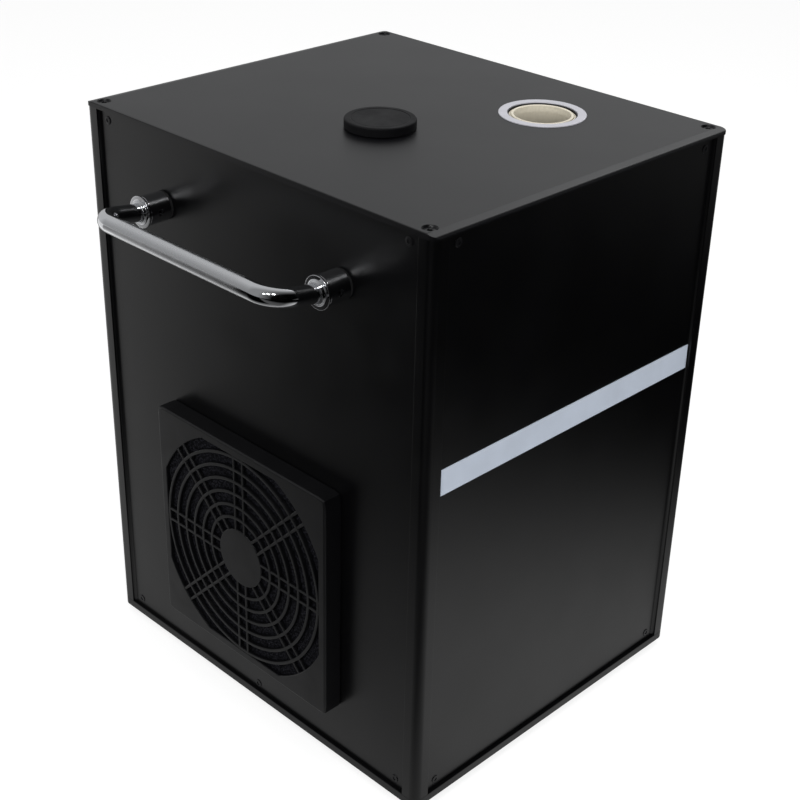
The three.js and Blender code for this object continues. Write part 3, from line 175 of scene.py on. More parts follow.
class SparkHandles(bpy.types.PropertyGroup):
    """Sizes of the carrying handles."""

    rod: length("Radius of the handle's rod", 4.35)
    rod_start: length("Height of the rod's end in the boss", 4.7)
    bend: length("Middle radius of the handle's bends", 11.5)
    boss: length("Radius of a boss", 7.3)
    boss_length: length("Length of a boss", 14.4)
    boss_floor: length("Height of the floor of the boss's bore", 4.4)
    washer: length("Thickness of the dark washer at the panel", 1.3)
    washer_radius: length("Radius of the dark washer", 7.1)
    rim: length("Radius of the boss's bright rim", 7.8)
    rim_length: length("Length of the bright rim", 1.2)
    collar: length("Radius of the collar round the rod", 5.5)
    collar_length: length("Length of the collar", 1.5)
    stud: length("Radius of the stud through the panel", 2.5)
    stud_length: length("Length of the stud behind the panel's face", 8)
    grub: length("Radius of the grub screw's hole", 1.7)
    grub_depth: length("Depth of the grub screw's hole", 1.4)


class SparkGuard(bpy.types.PropertyGroup):
    """Sizes of the fan guard."""

    corner: length("Radius of the guard's corners", 2.5)
    edge: length("Rounding of the guard's front edge", 1.2)
    frame: length("Width of the border beside the opening", 4.6)
    bulge: length("How far the opening reaches into the corners", 6.2)
    face: length("Thickness of the face and bars", 2)
    wall: length("Thickness of the side walls", 2)
    hub: length("Radius of the middle disc", 16)
    first_ring: length("Middle radius of the smallest ring", 22.5)
    ring_merge: length("How far the last ring stays inside the opening", 0.7)
    ring_width: length("Width of a ring", 1.7)
    spoke_pitch: length("Distance between the two bars of a spoke", 6.4)
    spoke_width: length("Width of a spoke's bar", 1.5)
    bar_edge: length("Rounding of the bars", 0.35)
    rings: IntProperty(name="Rings", description="Number of rings", default=6, min=1)
    spokes: IntProperty(name="Spokes", description="Number of double spokes", default=8, min=1)


class SparkTop(bpy.types.PropertyGroup):
    """Sizes of the filler cap, the nozzle and the feet."""

    neck: length("Radius of the filler neck where it passes the top plate", 13.7)
    cap_edge: length("Rounding of the filler cap's rim", 1.0)
    cap_rim: length("Width of the cap's raised rim", 2.9)
    cap_skin: length("Thickness of the cap's top", 2.2)
    cap_groove: length("Width of the fine groove inside the cap's rim", 0.5)
    cap_plug_radius: length("Radius of the cap's plug", 12.2)
    cap_skirt: length("Wall of the cap's skirt", 1.4)
    cap_plug: length("Wall of the cap's plug", 1.5)
    ring_bore: length("Bore of the white ring", 17.1)
    ring_edge: length("Rounding of the white ring", 0.2)
    tube_bore: length("Bore of the nozzle tube", 13.5)
    mouth: length("Radius of the nozzle's mouth", 13.9)
    tube_rim: length("Radius of the nozzle tube's rim", 15.3)
    tube_ledge: length("How far the ledge round the rim lies below it", 0.9)
    mouth_depth: length("Depth of the mouth's slope", 3)
    tube_edge: length("Rounding of the nozzle tube's rim", 0.35)
    gap: length("Gap between a hole in the top and what stands in it", 0.3)
    foot_face: length("Radius of a foot's ground face", 8)
    foot_recess: length("Radius of the screw's recess in a foot", 3.4)
    foot_recess_depth: length("Depth of that recess", 2.4)


class SparkRear(bpy.types.PropertyGroup):
    """Sizes of the controls and sockets on the rear."""

    bezel_corner: length("Corner radius of the display's bezel", 3)
    bezel_edge: length("Rounding of the bezel's rim", 0.6)
    window_width: length("Width of the bezel's window", 64)
    window_height: length("Height of the bezel's window", 26)
    button: length("Radius of a button", 5)
    button_edge: length("Rounding of a button", 0.45)
    button_dish: length("Depth of a button's dished top", 0.35)
    mark: length("Width of a mark's strokes", 0.7)
    switch_corner: length("Corner radius of the switch's frame", 2)
    switch_window_width: length("Width of the switch's window", 18)
    switch_window_height: length("Height of the switch's window", 26)
    switch_wall: length("Wall of the switch's body behind the panel", 1.5)
    rocker_half: length("Half the width of the rocker", 8.6)
    rim: length("Height of the switch's and the fuse holder's rims", 2)
    inlet_corner: length("Corner radius of the inlet's flange", 4)
    inlet_width: length("Width of the inlet's well", 24.4)
    inlet_height: length("Height of the inlet's well", 17)
    inlet_chamfer: length("Cut corners of the inlet's well", 4)
    inlet_depth: length("Depth of the inlet's well", 17)
    inlet_shell_width: length("Width of the inlet's body behind the panel", 31)
    inlet_shell_height: length("Height of the inlet's body", 23.5)
    inlet_screw: length("Distance of the inlet's screws from its middle", 20)
    inlet_pin: length("Length of the inlet's pins", 11)
    inlet_pitch: length("Sideways distance between the inlet's pins", 7)
    fuse_body: length("Radius of the fuse holder behind the panel", 6.2)
    fuse_rim: length("Radius of the fuse holder's rim", 8)
    fuse_bore: length("Radius of the fuse holder's bore", 4.6)
    fuse_rib: length("Depth of the ribs round the fuse cap", 0.3)
    socket_corner: length("Corner radius of a signal socket's flange", 2)
    socket_shell: length("Radius of a signal socket's shell", 11.4)
    socket_well: length("Radius of a signal socket's well", 9.4)
    socket_depth: length("Depth of the signal inlet's well", 14)
    socket_pin: length("Length of the signal inlet's pins", 9)
    socket_ring: length("Radius of the ring on which the contacts stand", 5)
    socket_screw_x: length("Sideways distance of a screw from the middle", 9.6)
    socket_screw_y: length("Upward distance of a screw from the middle", 12)


class SparkStage(bpy.types.PropertyGroup):
    """Light and camera of the studio."""

    ambient: FloatProperty(description="Soft light from all round", default=0.32, min=0)
    top_power: power("Power of the lamp above", 11)
    left_power: power("Power of the lamp at the left", 5)
    front_power: power("Power of the lamp in front", 10)
    ceiling_power: power("Power of each of the three small lamps that make the glints", 1)
    lens: FloatProperty(description="Focal length of the camera in millimetres", default=67.961)
    camera_place: FloatVectorProperty(
        description="Where the camera stands", default=CAMERA_PLACE, subtype="TRANSLATION", precision=5
    )
    camera_turn: FloatVectorProperty(
        description="Tilt, roll and heading of the camera", default=CAMERA_TURN, subtype="EULER"
    )
    floor: FloatProperty(description="Side of the floor", default=12, unit="LENGTH")


GROUPS = {
    "spark_colours": SparkColours,
    "spark_casing": SparkCasing,
    "spark_handles": SparkHandles,
    "spark_guard": SparkGuard,
    "spark_top": SparkTop,
    "spark_rear": SparkRear,
    "spark_stage": SparkStage,
}


# Nodes and finishes


def add(tree, kind, inputs=(), **settings):
    """Adds a node with its settings; an input is a value, or a socket or node to link from."""
    made = tree.nodes.new("ShaderNode" + kind)
    for name, value in settings.items():
        setattr(made, name, value)
    for name, value in inputs.items() if isinstance(inputs, dict) else enumerate(inputs):
        if isinstance(value, bpy.types.Node):
            value = value.outputs[0]
        if isinstance(value, bpy.types.NodeSocket):
            tree.links.new(value, made.inputs[name])
        else:
            made.inputs[name].default_value = value
    return made


def opaque(rgb, factor=1):
    """A shade of a linear colour, with full alpha."""
    return (*[min(1, part * factor) for part in rgb], 1)


class Surface:
    """A new material, whose patterns lie in the piece's own metres."""

    def __init__(self, name, **sockets):
        self.material = bpy.data.materials.new(name)
        self.material.use_nodes = True
        self.tree = self.material.node_tree
        self.shader = self.tree.nodes["Principled BSDF"]
        for socket, value in sockets.items():
            self.shader.inputs[socket.replace("_", " ")].default_value = value
        self.place = add(self.tree, "TexCoord").outputs["Object"]

    def grain(self, millimetres, detail, low=0, high=1, start=0.3, end=0.7, roughness=0.5):
        """Soft lumps about so many millimetres wide, with their usual range spread from low to high."""
        inputs = {"Vector": self.place, "Scale": 1 / (millimetres * MM)}
        inputs.update({"Detail": detail, "Roughness": roughness})
        return add(self.tree, "MapRange", (add(self.tree, "TexNoise", inputs), start, end, low, high))

    def tint(self, share, rgb, first, second, other=None):
        """Colours the surface between two shades of a colour, or of two colours, by a pattern."""
        tones = {0: share, 6: opaque(rgb, first), 7: opaque(other or rgb, second)}
        made = add(self.tree, "Mix", tones, data_type="RGBA").outputs[2]
        self.tree.links.new(made, self.shader.inputs["Base Color"])
        return made

    def rough(self, pattern):
        """Lets a pattern set the roughness."""
        self.tree.links.new(pattern.outputs[0], self.shader.inputs["Roughness"])

    def relief(self, pattern, millimetres):
        """Raises the surface by a pattern, or by a grain's size and detail, so far from low to high."""
        if isinstance(pattern, tuple):
            pattern = self.grain(*pattern, start=0, end=1)
        inputs = {"Height": pattern, "Distance": millimetres * MM, "Strength": 1}
        self.tree.links.new(add(self.tree, "Bump", inputs).outputs[0], self.shader.inputs["Normal"])


def plain(name, rgb, shades, sheen, relief=None, **sockets):
    """A surface with an even grain, each part given by the size and the detail of its lumps: then
    come two shades of the colour, the lowest and highest roughness, and the relief's height."""
    s = Surface(name, **sockets)
    s.tint(s.grain(*shades[:2]), rgb, *shades[2:])
    s.rough(s.grain(*sheen))
    if relief:
        s.relief(relief[:2], relief[2])
    return s


def powder_coated_steel(c):
    """Baked polyester powder on sheet steel: an even satin black with a very fine orange peel."""
    # The peel is about 0.8 mm wide, drawn a little coarser so that it shows.
    return plain("powder_coated_steel", c.powder_coat, (38, 3, 0.75, 1.35), (22, 4, 0.29, 0.34),
                 (1.1, 2, 0.012), IOR=1.5)


def anodised_aluminium(c):
    """Bead-blasted aluminium sheet, anodised black: a dry, even sheen with a sandy grain."""
    s = Surface("black_anodised_aluminium", IOR=1.5)
    s.tint(s.grain(0.9, 1, start=0.35, end=0.65), c.top_anodising, 0.7, 1.5)
    s.rough(s.grain(45, 3, 0.36, 0.38))
    # The blasted grain is about 0.1 mm and is drawn coarser, or it would not show.
    s.relief((0.7, 2), 0.01)
    return s


def chrome_plated_steel(c):
    """Chrome plated: satin along the grips, polished at their bends and at the bosses."""
    s = Surface("chrome_plated_steel", Metallic=1, Base_Color=opaque(c.chrome))
    s.relief((9, 1), 0.006)
    parts = add(s.tree, "SeparateXYZ", (s.place,)).outputs
    from_middle = add(s.tree, "Math", (parts["X"],), operation="ABSOLUTE")
    straight = add(s.tree, "MapRange", (from_middle, *GRIP_END, 1, 0))
    grip = add(s.tree, "MapRange", (parts["Z"], *GRIP_HEIGHT, 0, 0.2))
    satin = add(s.tree, "Math", (straight, grip), operation="MULTIPLY")
    # Faint wiping marks run along the rod.
    s.place = add(s.tree, "Mapping", {"Vector": s.place, "Scale": (0.15, 1, 1)})
    s.rough(add(s.tree, "Math", (s.grain(0.8, 3, 0.05, 0.12), satin), operation="ADD"))
    return s


def vinyl_film(c):
    """Calendered vinyl with a silver-white satin ink."""
    return plain("satin_vinyl_film", c.film, (14, 3, 0.95, 1.03), (6, 2, 0.34, 0.42), (1.6, 2, 0.006),
                 IOR=1.48)


def moulded_nylon(c):
    """Glass-filled nylon from a spark-eroded mould: a fine, slightly greyish satin grain."""
    # The eroded grain is about 0.2 mm and is drawn coarser, or it would not show.
    return plain("moulded_black_nylon", c.nylon, (0.8, 2, 0.8, 1.25), (12, 3, 0.4, 0.5), (0.6, 2, 0.014),
                 IOR=1.53)


def moulded_cap_plastic(c):
    """Polypropylene from a textured mould: dull, with a faint waxy sheen."""
    return plain("moulded_polypropylene", c.cap, (1.1, 2, 0.85, 1.2), (9, 3, 0.56, 0.68), (0.7, 2, 0.016),
                 IOR=1.49, Specular_IOR_Level=0.3)


def polished_abs(c):
    """ABS from a polished mould: deep black and glossy, with a trace of dust."""
    s = Surface("polished_abs", IOR=1.54)
    s.tint(s.grain(0.5, 3, start=0.62, end=0.8), c.gloss, 1, 3)
    s.rough(s.grain(16, 3, 0.12, 0.2))
    return s


def open_cell_foam(c):
    """Reticulated polyether foam, about 1.2 mm a cell: black, and it swallows light."""
    s = Surface("open_cell_foam", IOR=1.45, Roughness=1, Specular_IOR_Level=0.1)
    cells = add(s.tree, "TexVoronoi", {"Vector": s.place, "Scale": 1 / (1.2 * MM)})
    s.tint(add(s.tree, "MapRange", (cells, 0.1, 0.6, 0, 1)), c.foam, 2.2, 0.4)
    s.relief(cells, 0.5)
    return s


def moulded_rubber(c):
    """Compression-moulded rubber: matt, with a little bloom."""
    return plain("moulded_rubber", c.rubber, (5, 4, 0.85, 1.5), (5, 4, 0.7, 0.85), (0.5, 2, 0.02), IOR=1.52)


def black_oxide_steel(c):
    """Turned steel with an oiled black oxide: nearly black, with the soft sheen of the oil."""
    return plain("black_oxide_steel", c.oxide, (1.5, 3, 0.8, 1.6), (2.5, 3, 0.3, 0.45), (0.4, 2, 0.008),
                 Metallic=0.1, IOR=1.55)


def vitreous_enamel(c):
    """White enamel, fired and lightly stoned: even and a little glossy."""
    return plain("white_enamel", c.enamel, (7, 3, 0.96, 1.02), (3, 2, 0.28, 0.38), (1.4, 2, 0.008), IOR=1.5)


def fired_ceramic(c):
    """Pressed alumina, fired without glaze: cream, with a faint grain, and painted shade that darkens the
    bore.
    """
    s = Surface("fired_alumina", IOR=1.6)
    unshaded = s.tint(s.grain(1.2, 4), c.ceramic, 0.94, 1.04)
    # Painted shade: the bore's colour is drawn darker below the mouth, where shade falls deeper inside it.
    height = add(s.tree, "SeparateXYZ", (s.place,)).outputs["Z"]
    bore_shade = add(s.tree, "MapRange", (height, -9 * MM, -1.6 * MM, 1, 0))
    made = add(s.tree, "Mix", {0: bore_shade, 6: unshaded, 7: opaque(c.ceramic, 0.62)}, data_type="RGBA")
    s.tree.links.new(made.outputs[2], s.shader.inputs["Base Color"])
    s.rough(s.grain(1.2, 4, 0.32, 0.45))
    s.relief((0.8, 3), 0.015)
    return s


def turned_steel(c):
    """Turned or drawn steel: bright, with fine round tool marks."""
    s = Surface("turned_steel", Metallic=1, Base_Color=opaque(c.steel))
    s.place = add(s.tree, "Mapping", {"Vector": s.place, "Scale": (0.2, 0.2, 4)})
    s.rough(s.grain(1.5, 2, 0.22, 0.4))
    s.relief((1.5, 2), 0.01)
    return s


def galvanised_steel(c):
    """Hot-dip zinc on sheet steel, with spangles about 9 mm across."""
    s = Surface("galvanised_steel", Metallic=0.95)
    spangle = add(s.tree, "TexVoronoi", {"Vector": s.place, "Scale": 1 / (9 * MM)}).outputs["Color"]
    level = add(s.tree, "SeparateColor", (spangle,))
    s.tint(level, c.zinc, 0.8, 1.1)
    s.rough(add(s.tree, "MapRange", (level, 0, 1, 0.35, 0.55)))
    return s


def fibre_felt(c):
    """Pressed ceramic fibre: soft, off-white and fluffy."""
    s = Surface("ceramic_fibre_felt", IOR=1.45, Roughness=1)
    s.tint(s.grain(2.2, 6, roughness=0.7), c.fibre, 0.8, 1.05)
    s.relief(s.grain(2.2, 6, start=0, end=1, roughness=0.7), 0.5)
    return s


def circuit_board(c):
    """Glass-epoxy board with a green solder mask over a grid of copper tracks."""
    s = Surface("glass_epoxy_board", IOR=1.5, Roughness=0.35)
    inputs = {"Vector": s.place, "Scale": 1 / (9 * MM), "Mortar Size": 0.06}
    tracks = add(s.tree, "TexBrick", inputs).outputs["Fac"]
    s.tint(tracks, c.board, 1, 1.9)
    s.relief(tracks, 0.03)
    return s


def display_glass(c):
    """Tinted acrylic over a display that is off: dark, smooth, with a faint grid of dots."""
    s = Surface("tinted_acrylic", IOR=1.49)
    inputs = {"Vector": s.place, "Scale": 1 / (0.7 * MM), "Randomness": 0}
    dots = add(s.tree, "TexVoronoi", inputs)
    s.tint(add(s.tree, "MapRange", (dots, 0.2, 0.6, 0, 1)), c.window, 1.3, 0.8)
    s.rough(s.grain(11, 3, 0.04, 0.1))
    return s


def moulded_polycarbonate(c):
    """Red polycarbonate from a fine mould: semi-gloss, a little deeper in places."""
    return plain("moulded_polycarbonate", c.rocker, (7, 3, 0.88, 1.08), (2, 2, 0.24, 0.32), (0.6, 2, 0.006),
                 IOR=1.58)


def brass_contact(c):
    """Turned brass contacts, nickel plated: warm grey and fairly bright."""
    s = Surface("plated_brass", Metallic=1)
    s.tint(s.grain(1.2, 3), c.contact, 1, 1, c.worn_contact)
    s.rough(s.grain(1.2, 3, 0.2, 0.35))
    return s


def pad_ink(c):
    """Pad-printed two-part ink: flat and slightly uneven at its edge."""
    return plain("pad_printed_ink", c.mark, (0.6, 3, 0.9, 1.02), (0.6, 3, 0.5, 0.6), IOR=1.5)


FINISHES = {
    "painted_case": powder_coated_steel,
    "anodised_plate": anodised_aluminium,
    "chrome": chrome_plated_steel,
    "stripe_film": vinyl_film,
    "black_plastic": moulded_nylon,
    "cap_plastic": moulded_cap_plastic,
    "gloss_black_plastic": polished_abs,
    "filter_foam": open_cell_foam,
    "black_rubber": moulded_rubber,
    "blackened_steel": black_oxide_steel,
    "white_enamel": vitreous_enamel,
    "cream_ceramic": fired_ceramic,
    "bare_steel": turned_steel,
    "zinc_sheet": galvanised_steel,
    "fibre_jacket": fibre_felt,
    "circuit_board": circuit_board,
    "screen_glass": display_glass,
    "red_plastic": moulded_polycarbonate,
    "contact": brass_contact,
    "ink": pad_ink,
}
MADE = {}


def finish(scene, name):
    """The material of that name, made the first time it is asked for."""
    if name not in MADE:
        MADE[name] = FINISHES[name](scene.spark_colours).material
    return MADE[name]


# Outlines, as lists of points


def circle(radius, count=ROUND, x=0.0, y=0.0):
    """Gives the circle's points at an inset from its edge."""
    def outline(inset=0.0):
        turns = [2 * math.pi * i / count for i in range(count)]
        return [(x + (radius - inset) * math.cos(t), y + (radius - inset) * math.sin(t)) for t in turns]
    return outline


def rounded(width, height, radius, x=0.0, y=0.0, steps=8):
    """Gives a rounded rectangle's points at an inset from its edge."""
    def outline(inset=0.0):
        points = []
        r = max(radius - inset, 0.02 * MM)
        for k, (sx, sy) in enumerate(((1, 1), (-1, 1), (-1, -1), (1, -1))):
            cx = x + sx * (width / 2 - inset - r)
            cy = y + sy * (height / 2 - inset - r)
            for i in range(steps + 1):
                t = QUARTER * (k + i / steps)
                points.append((cx + r * math.cos(t), cy + r * math.sin(t)))
        return points
    return outline


def fixed(points):
    """An outline that is the same at every inset."""
    return lambda inset=0.0: points


def bow(first, bend, last, steps):
    """Points along a curve between two points that leaves each of them towards a third."""
    shares = [k / steps for k in range(steps + 1)]
    return [tuple(first * (1 - t) ** 2 + bend * 2 * t * (1 - t) + last * t ** 2) for t in shares]


def fillet(points, radius, steps=4, closed=False):
    """Rounds the corners of a line of points in a plane."""
    rounded_points = []
    count = len(points)
    for i, point in enumerate(points):
        here = Vector(point)
        if not closed and i in (0, count - 1):
            rounded_points.append(tuple(here))
            continue
        before = Vector(points[i - 1]) - here
        after = Vector(points[(i + 1) % count]) - here
        reach = min(radius, before.length * 0.45, after.length * 0.45)
        angle = before.angle(after, math.pi)
        if angle > math.pi - 0.05 or reach < 1e-6:
            rounded_points.append(tuple(here))
            continue
        start = here + before.normalized() * reach
        end = here + after.normalized() * reach
        rounded_points += bow(start, here, end, steps)
    return rounded_points


def soft_edge(bottom, top, bottom_edge, top_edge, steps=3):
    """Levels and insets of an upright wall with rounded lower and upper edges."""
    levels = []
    for i in range(steps + 1):
        t = QUARTER * i / steps
        if bottom_edge:
            levels.append((bottom + bottom_edge * (1 - math.sin(t)), bottom_edge * (1 - math.cos(t))))
    levels.reverse()
    levels = [(z, inset) for z, inset in levels] or [(bottom, 0)]
    for i in range(steps + 1):
        t = QUARTER * i / steps
        if top_edge:
            levels.append((top - top_edge * (1 - math.sin(t)), top_edge * (1 - math.cos(t))))
    if not top_edge:
        levels.append((top, 0))
    return levels


# Bodies, added to a mesh in their own frame


def wall(bm, rows, around=True):
    """Faces between rows of vertices."""
    for low, high in zip(rows, rows[1:]):
        count = len(low)
        for i in range(count if around else count - 1):
            j = (i + 1) % count
            bm.faces.new((low[i], low[j], high[j], high[i]))


def cover(bm, *loops):
    """A flat face inside the first loop and outside the others."""
    if len(loops) == 1:
        bm.faces.new(loops[0])
        return
    edges = []
    for loop in loops:
        for a, b in zip(loop, loop[1:] + loop[:1]):
            edges.append(bm.edges.get((a, b)) or bm.edges.new((a, b)))
    bmesh.ops.triangle_fill(bm, use_beauty=True, edges=edges)


def closed_body(bm, rows):
    """A closed body through rows of vertices, with flat ends."""
    wall(bm, rows)
    cover(bm, rows[0])
    cover(bm, rows[-1])


def loops(bm, outline, levels):
    """An outline's vertices at each of its levels, which are heights with insets."""
    return [[bm.verts.new((x, y, z)) for x, y in outline(inset)] for z, inset in levels]


def stack(bm, outline, levels, holes=(), wells=()):
    """A closed body: walls through the outer levels, holes right through it, and wells with a floor."""
    outer = loops(bm, outline, levels)
    through = [loops(bm, *hole) for hole in holes]
    blind = [loops(bm, *well) for well in wells]
    for side in [outer, *through, *blind]:
        wall(bm, side)
    cover(bm, outer[0], *[side[0] for side in through])
    cover(bm, outer[-1], *[side[-1] for side in through + blind])
    for side in blind:
        cover(bm, side[0])


def lathe(bm, profile, count=ROUND, closed=False):
    """Turns a line of (radius, height) points about the local z axis."""
    rows = []
    for radius, height in profile:
        if radius < 1e-7:
            rows.append([bm.verts.new((0, 0, height))])
        else:
            rows.append([
                bm.verts.new((radius * math.cos(t), radius * math.sin(t), height))
                for t in (2 * math.pi * i / count for i in range(count))
            ])
    pairs = list(zip(rows, rows[1:])) + ([(rows[-1], rows[0])] if closed else [])
    for low, high in pairs:
        for i in range(count):
            j = (i + 1) % count
            if len(low) == 1 and len(high) > 1:
                bm.faces.new((low[0], high[j], high[i]))
            elif len(high) == 1 and len(low) > 1:
                bm.faces.new((low[i], low[j], high[0]))
            elif len(low) > 1:
                bm.faces.new((low[i], low[j], high[j], high[i]))


def sweep(bm, path, radius, count=SMALL_ROUND, up=(0, 0, 1)):
    """A round rod along a path whose plane has roughly that upward direction."""
    up = Vector(up)
    rows = []
    for i, point in enumerate(path):
        ahead = path[min(i + 1, len(path) - 1)] - path[max(i - 1, 0)]
        across = ahead.cross(up).normalized()
        above = across.cross(ahead).normalized()
        rows.append([
            bm.verts.new(point + (across * math.cos(t) + above * math.sin(t)) * radius)
            for t in (2 * math.pi * k / count for k in range(count))
        ])
    closed_body(bm, rows)


def cut(obj, cutter_bm):
    """Cuts a closed mesh out of a piece and applies the cut."""
    mesh = bpy.data.meshes.new("cutter")
    bmesh.ops.recalc_face_normals(cutter_bm, faces=cutter_bm.faces)
    cutter_bm.to_mesh(mesh)
    cutter_bm.free()
    cutter = bpy.data.objects.new("cutter", mesh)
    bpy.context.scene.collection.objects.link(cutter)
    cutter.matrix_world = obj.matrix_world
    modifier = obj.modifiers.new("cut", "BOOLEAN")
    modifier.operation = "DIFFERENCE"
    modifier.solver = "EXACT"
    modifier.object = cutter
    bpy.context.view_layer.update()
    evaluated = obj.evaluated_get(bpy.context.evaluated_depsgraph_get())
    result = bpy.data.meshes.new_from_object(evaluated)
    obj.modifiers.clear()
    old = obj.data
    obj.data = result
    bpy.data.meshes.remove(old)
    bpy.data.objects.remove(cutter)
    bpy.data.meshes.remove(mesh)


# Places, pieces and carried-over nodes


def centre(node):
    """The middle of a node's box."""
    low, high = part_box(node)
    return (low + high) / 2


def outward(side):
    """A side's outward direction, and how far out its face lies."""
    turn = SIDE_TURNS.get(side)
    out = Vector((0, 0, 1) if side == "top" else (round(math.sin(turn)), -round(math.cos(turn)), 0))
    low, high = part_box("top_plate" if side == "top" else side + "_panel")
    return out, max(low.dot(out), high.dot(out))


def seat(node, side):
    """The frame of a node's middle on a side's face: x to the right, y up, z out from the face."""
    out, face = outward(side)
    middle = centre(node)
    middle += out * (face - middle.dot(out))
    if side == "top":
        return Matrix.Translation(middle)
    turned = Matrix.Rotation(QUARTER, 4, "X") @ Matrix.Rotation(SIDE_TURNS[side], 4, "Y")
    return Matrix.Translation(middle) @ turned


def spans(node, side):
    """A node's width and height on a side, and how far its back and its front lie out from the face."""
    out, face = outward(side)
    low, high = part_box(node)
    size = high - low
    back, front = sorted((low.dot(out) - face, high.dot(out) - face))
    return Span(size.y if out.x else size.x, size.y if side == "top" else size.z, back, front)


def shade_edges(bm):
    """Smooth faces that meet sharply at steep edges."""
    for edge in bm.edges:
        edge.smooth = len(edge.link_faces) != 2 or edge.calc_face_angle(0) < SHARP_EDGE
    for face in bm.faces:
        face.smooth = True


def piece(scene, name, bm, matrix, finish_name, body="casing", replaces=(), slot=None, cutter=None):
    """Makes a finished object of a mesh in its own frame, and lets it ride on a body."""
    bmesh.ops.recalc_face_normals(bm, faces=bm.faces)
    mesh = bpy.data.meshes.new(name)
    bm.to_mesh(mesh)
    bm.free()
    obj = bpy.data.objects.new(name, mesh)
    scene.collection.objects.link(obj)
    obj.matrix_world = matrix
    if cutter is not None:
        cut(obj, cutter)
    after = bmesh.new()
    after.from_mesh(obj.data)
    shade_edges(after)
    after.to_mesh(obj.data)
    after.free()
    obj.data.materials.clear()
    obj.data.materials.append(finish(scene, finish_name))
    normals = obj.modifiers.new("even normals", "WEIGHTED_NORMAL")
    normals.keep_sharp = True
    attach(obj, body)
    if replaces:
        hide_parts(*replaces)
    return obj


def turned_piece(scene, name, place, finish_name, profile, count=ROUND, closed=False, **rides):
    """Makes a piece of a line of (radius, height) points, turned about the z axis of its place."""
    bm = bmesh.new()
    lathe(bm, profile, count, closed)
    piece(scene, name, bm, place, finish_name, **rides)


def refinish(scene, names, finish_name):
    """Gives carried-over nodes a finish."""
    for name in names:
        node = frame["nodes"][name]
        node.data.materials.clear()
        node.data.materials.append(finish(scene, finish_name))


def hexagon(half_width, x=0.0, y=0.0):
    return circle(half_width / math.cos(math.pi / 6), 6, x, y)


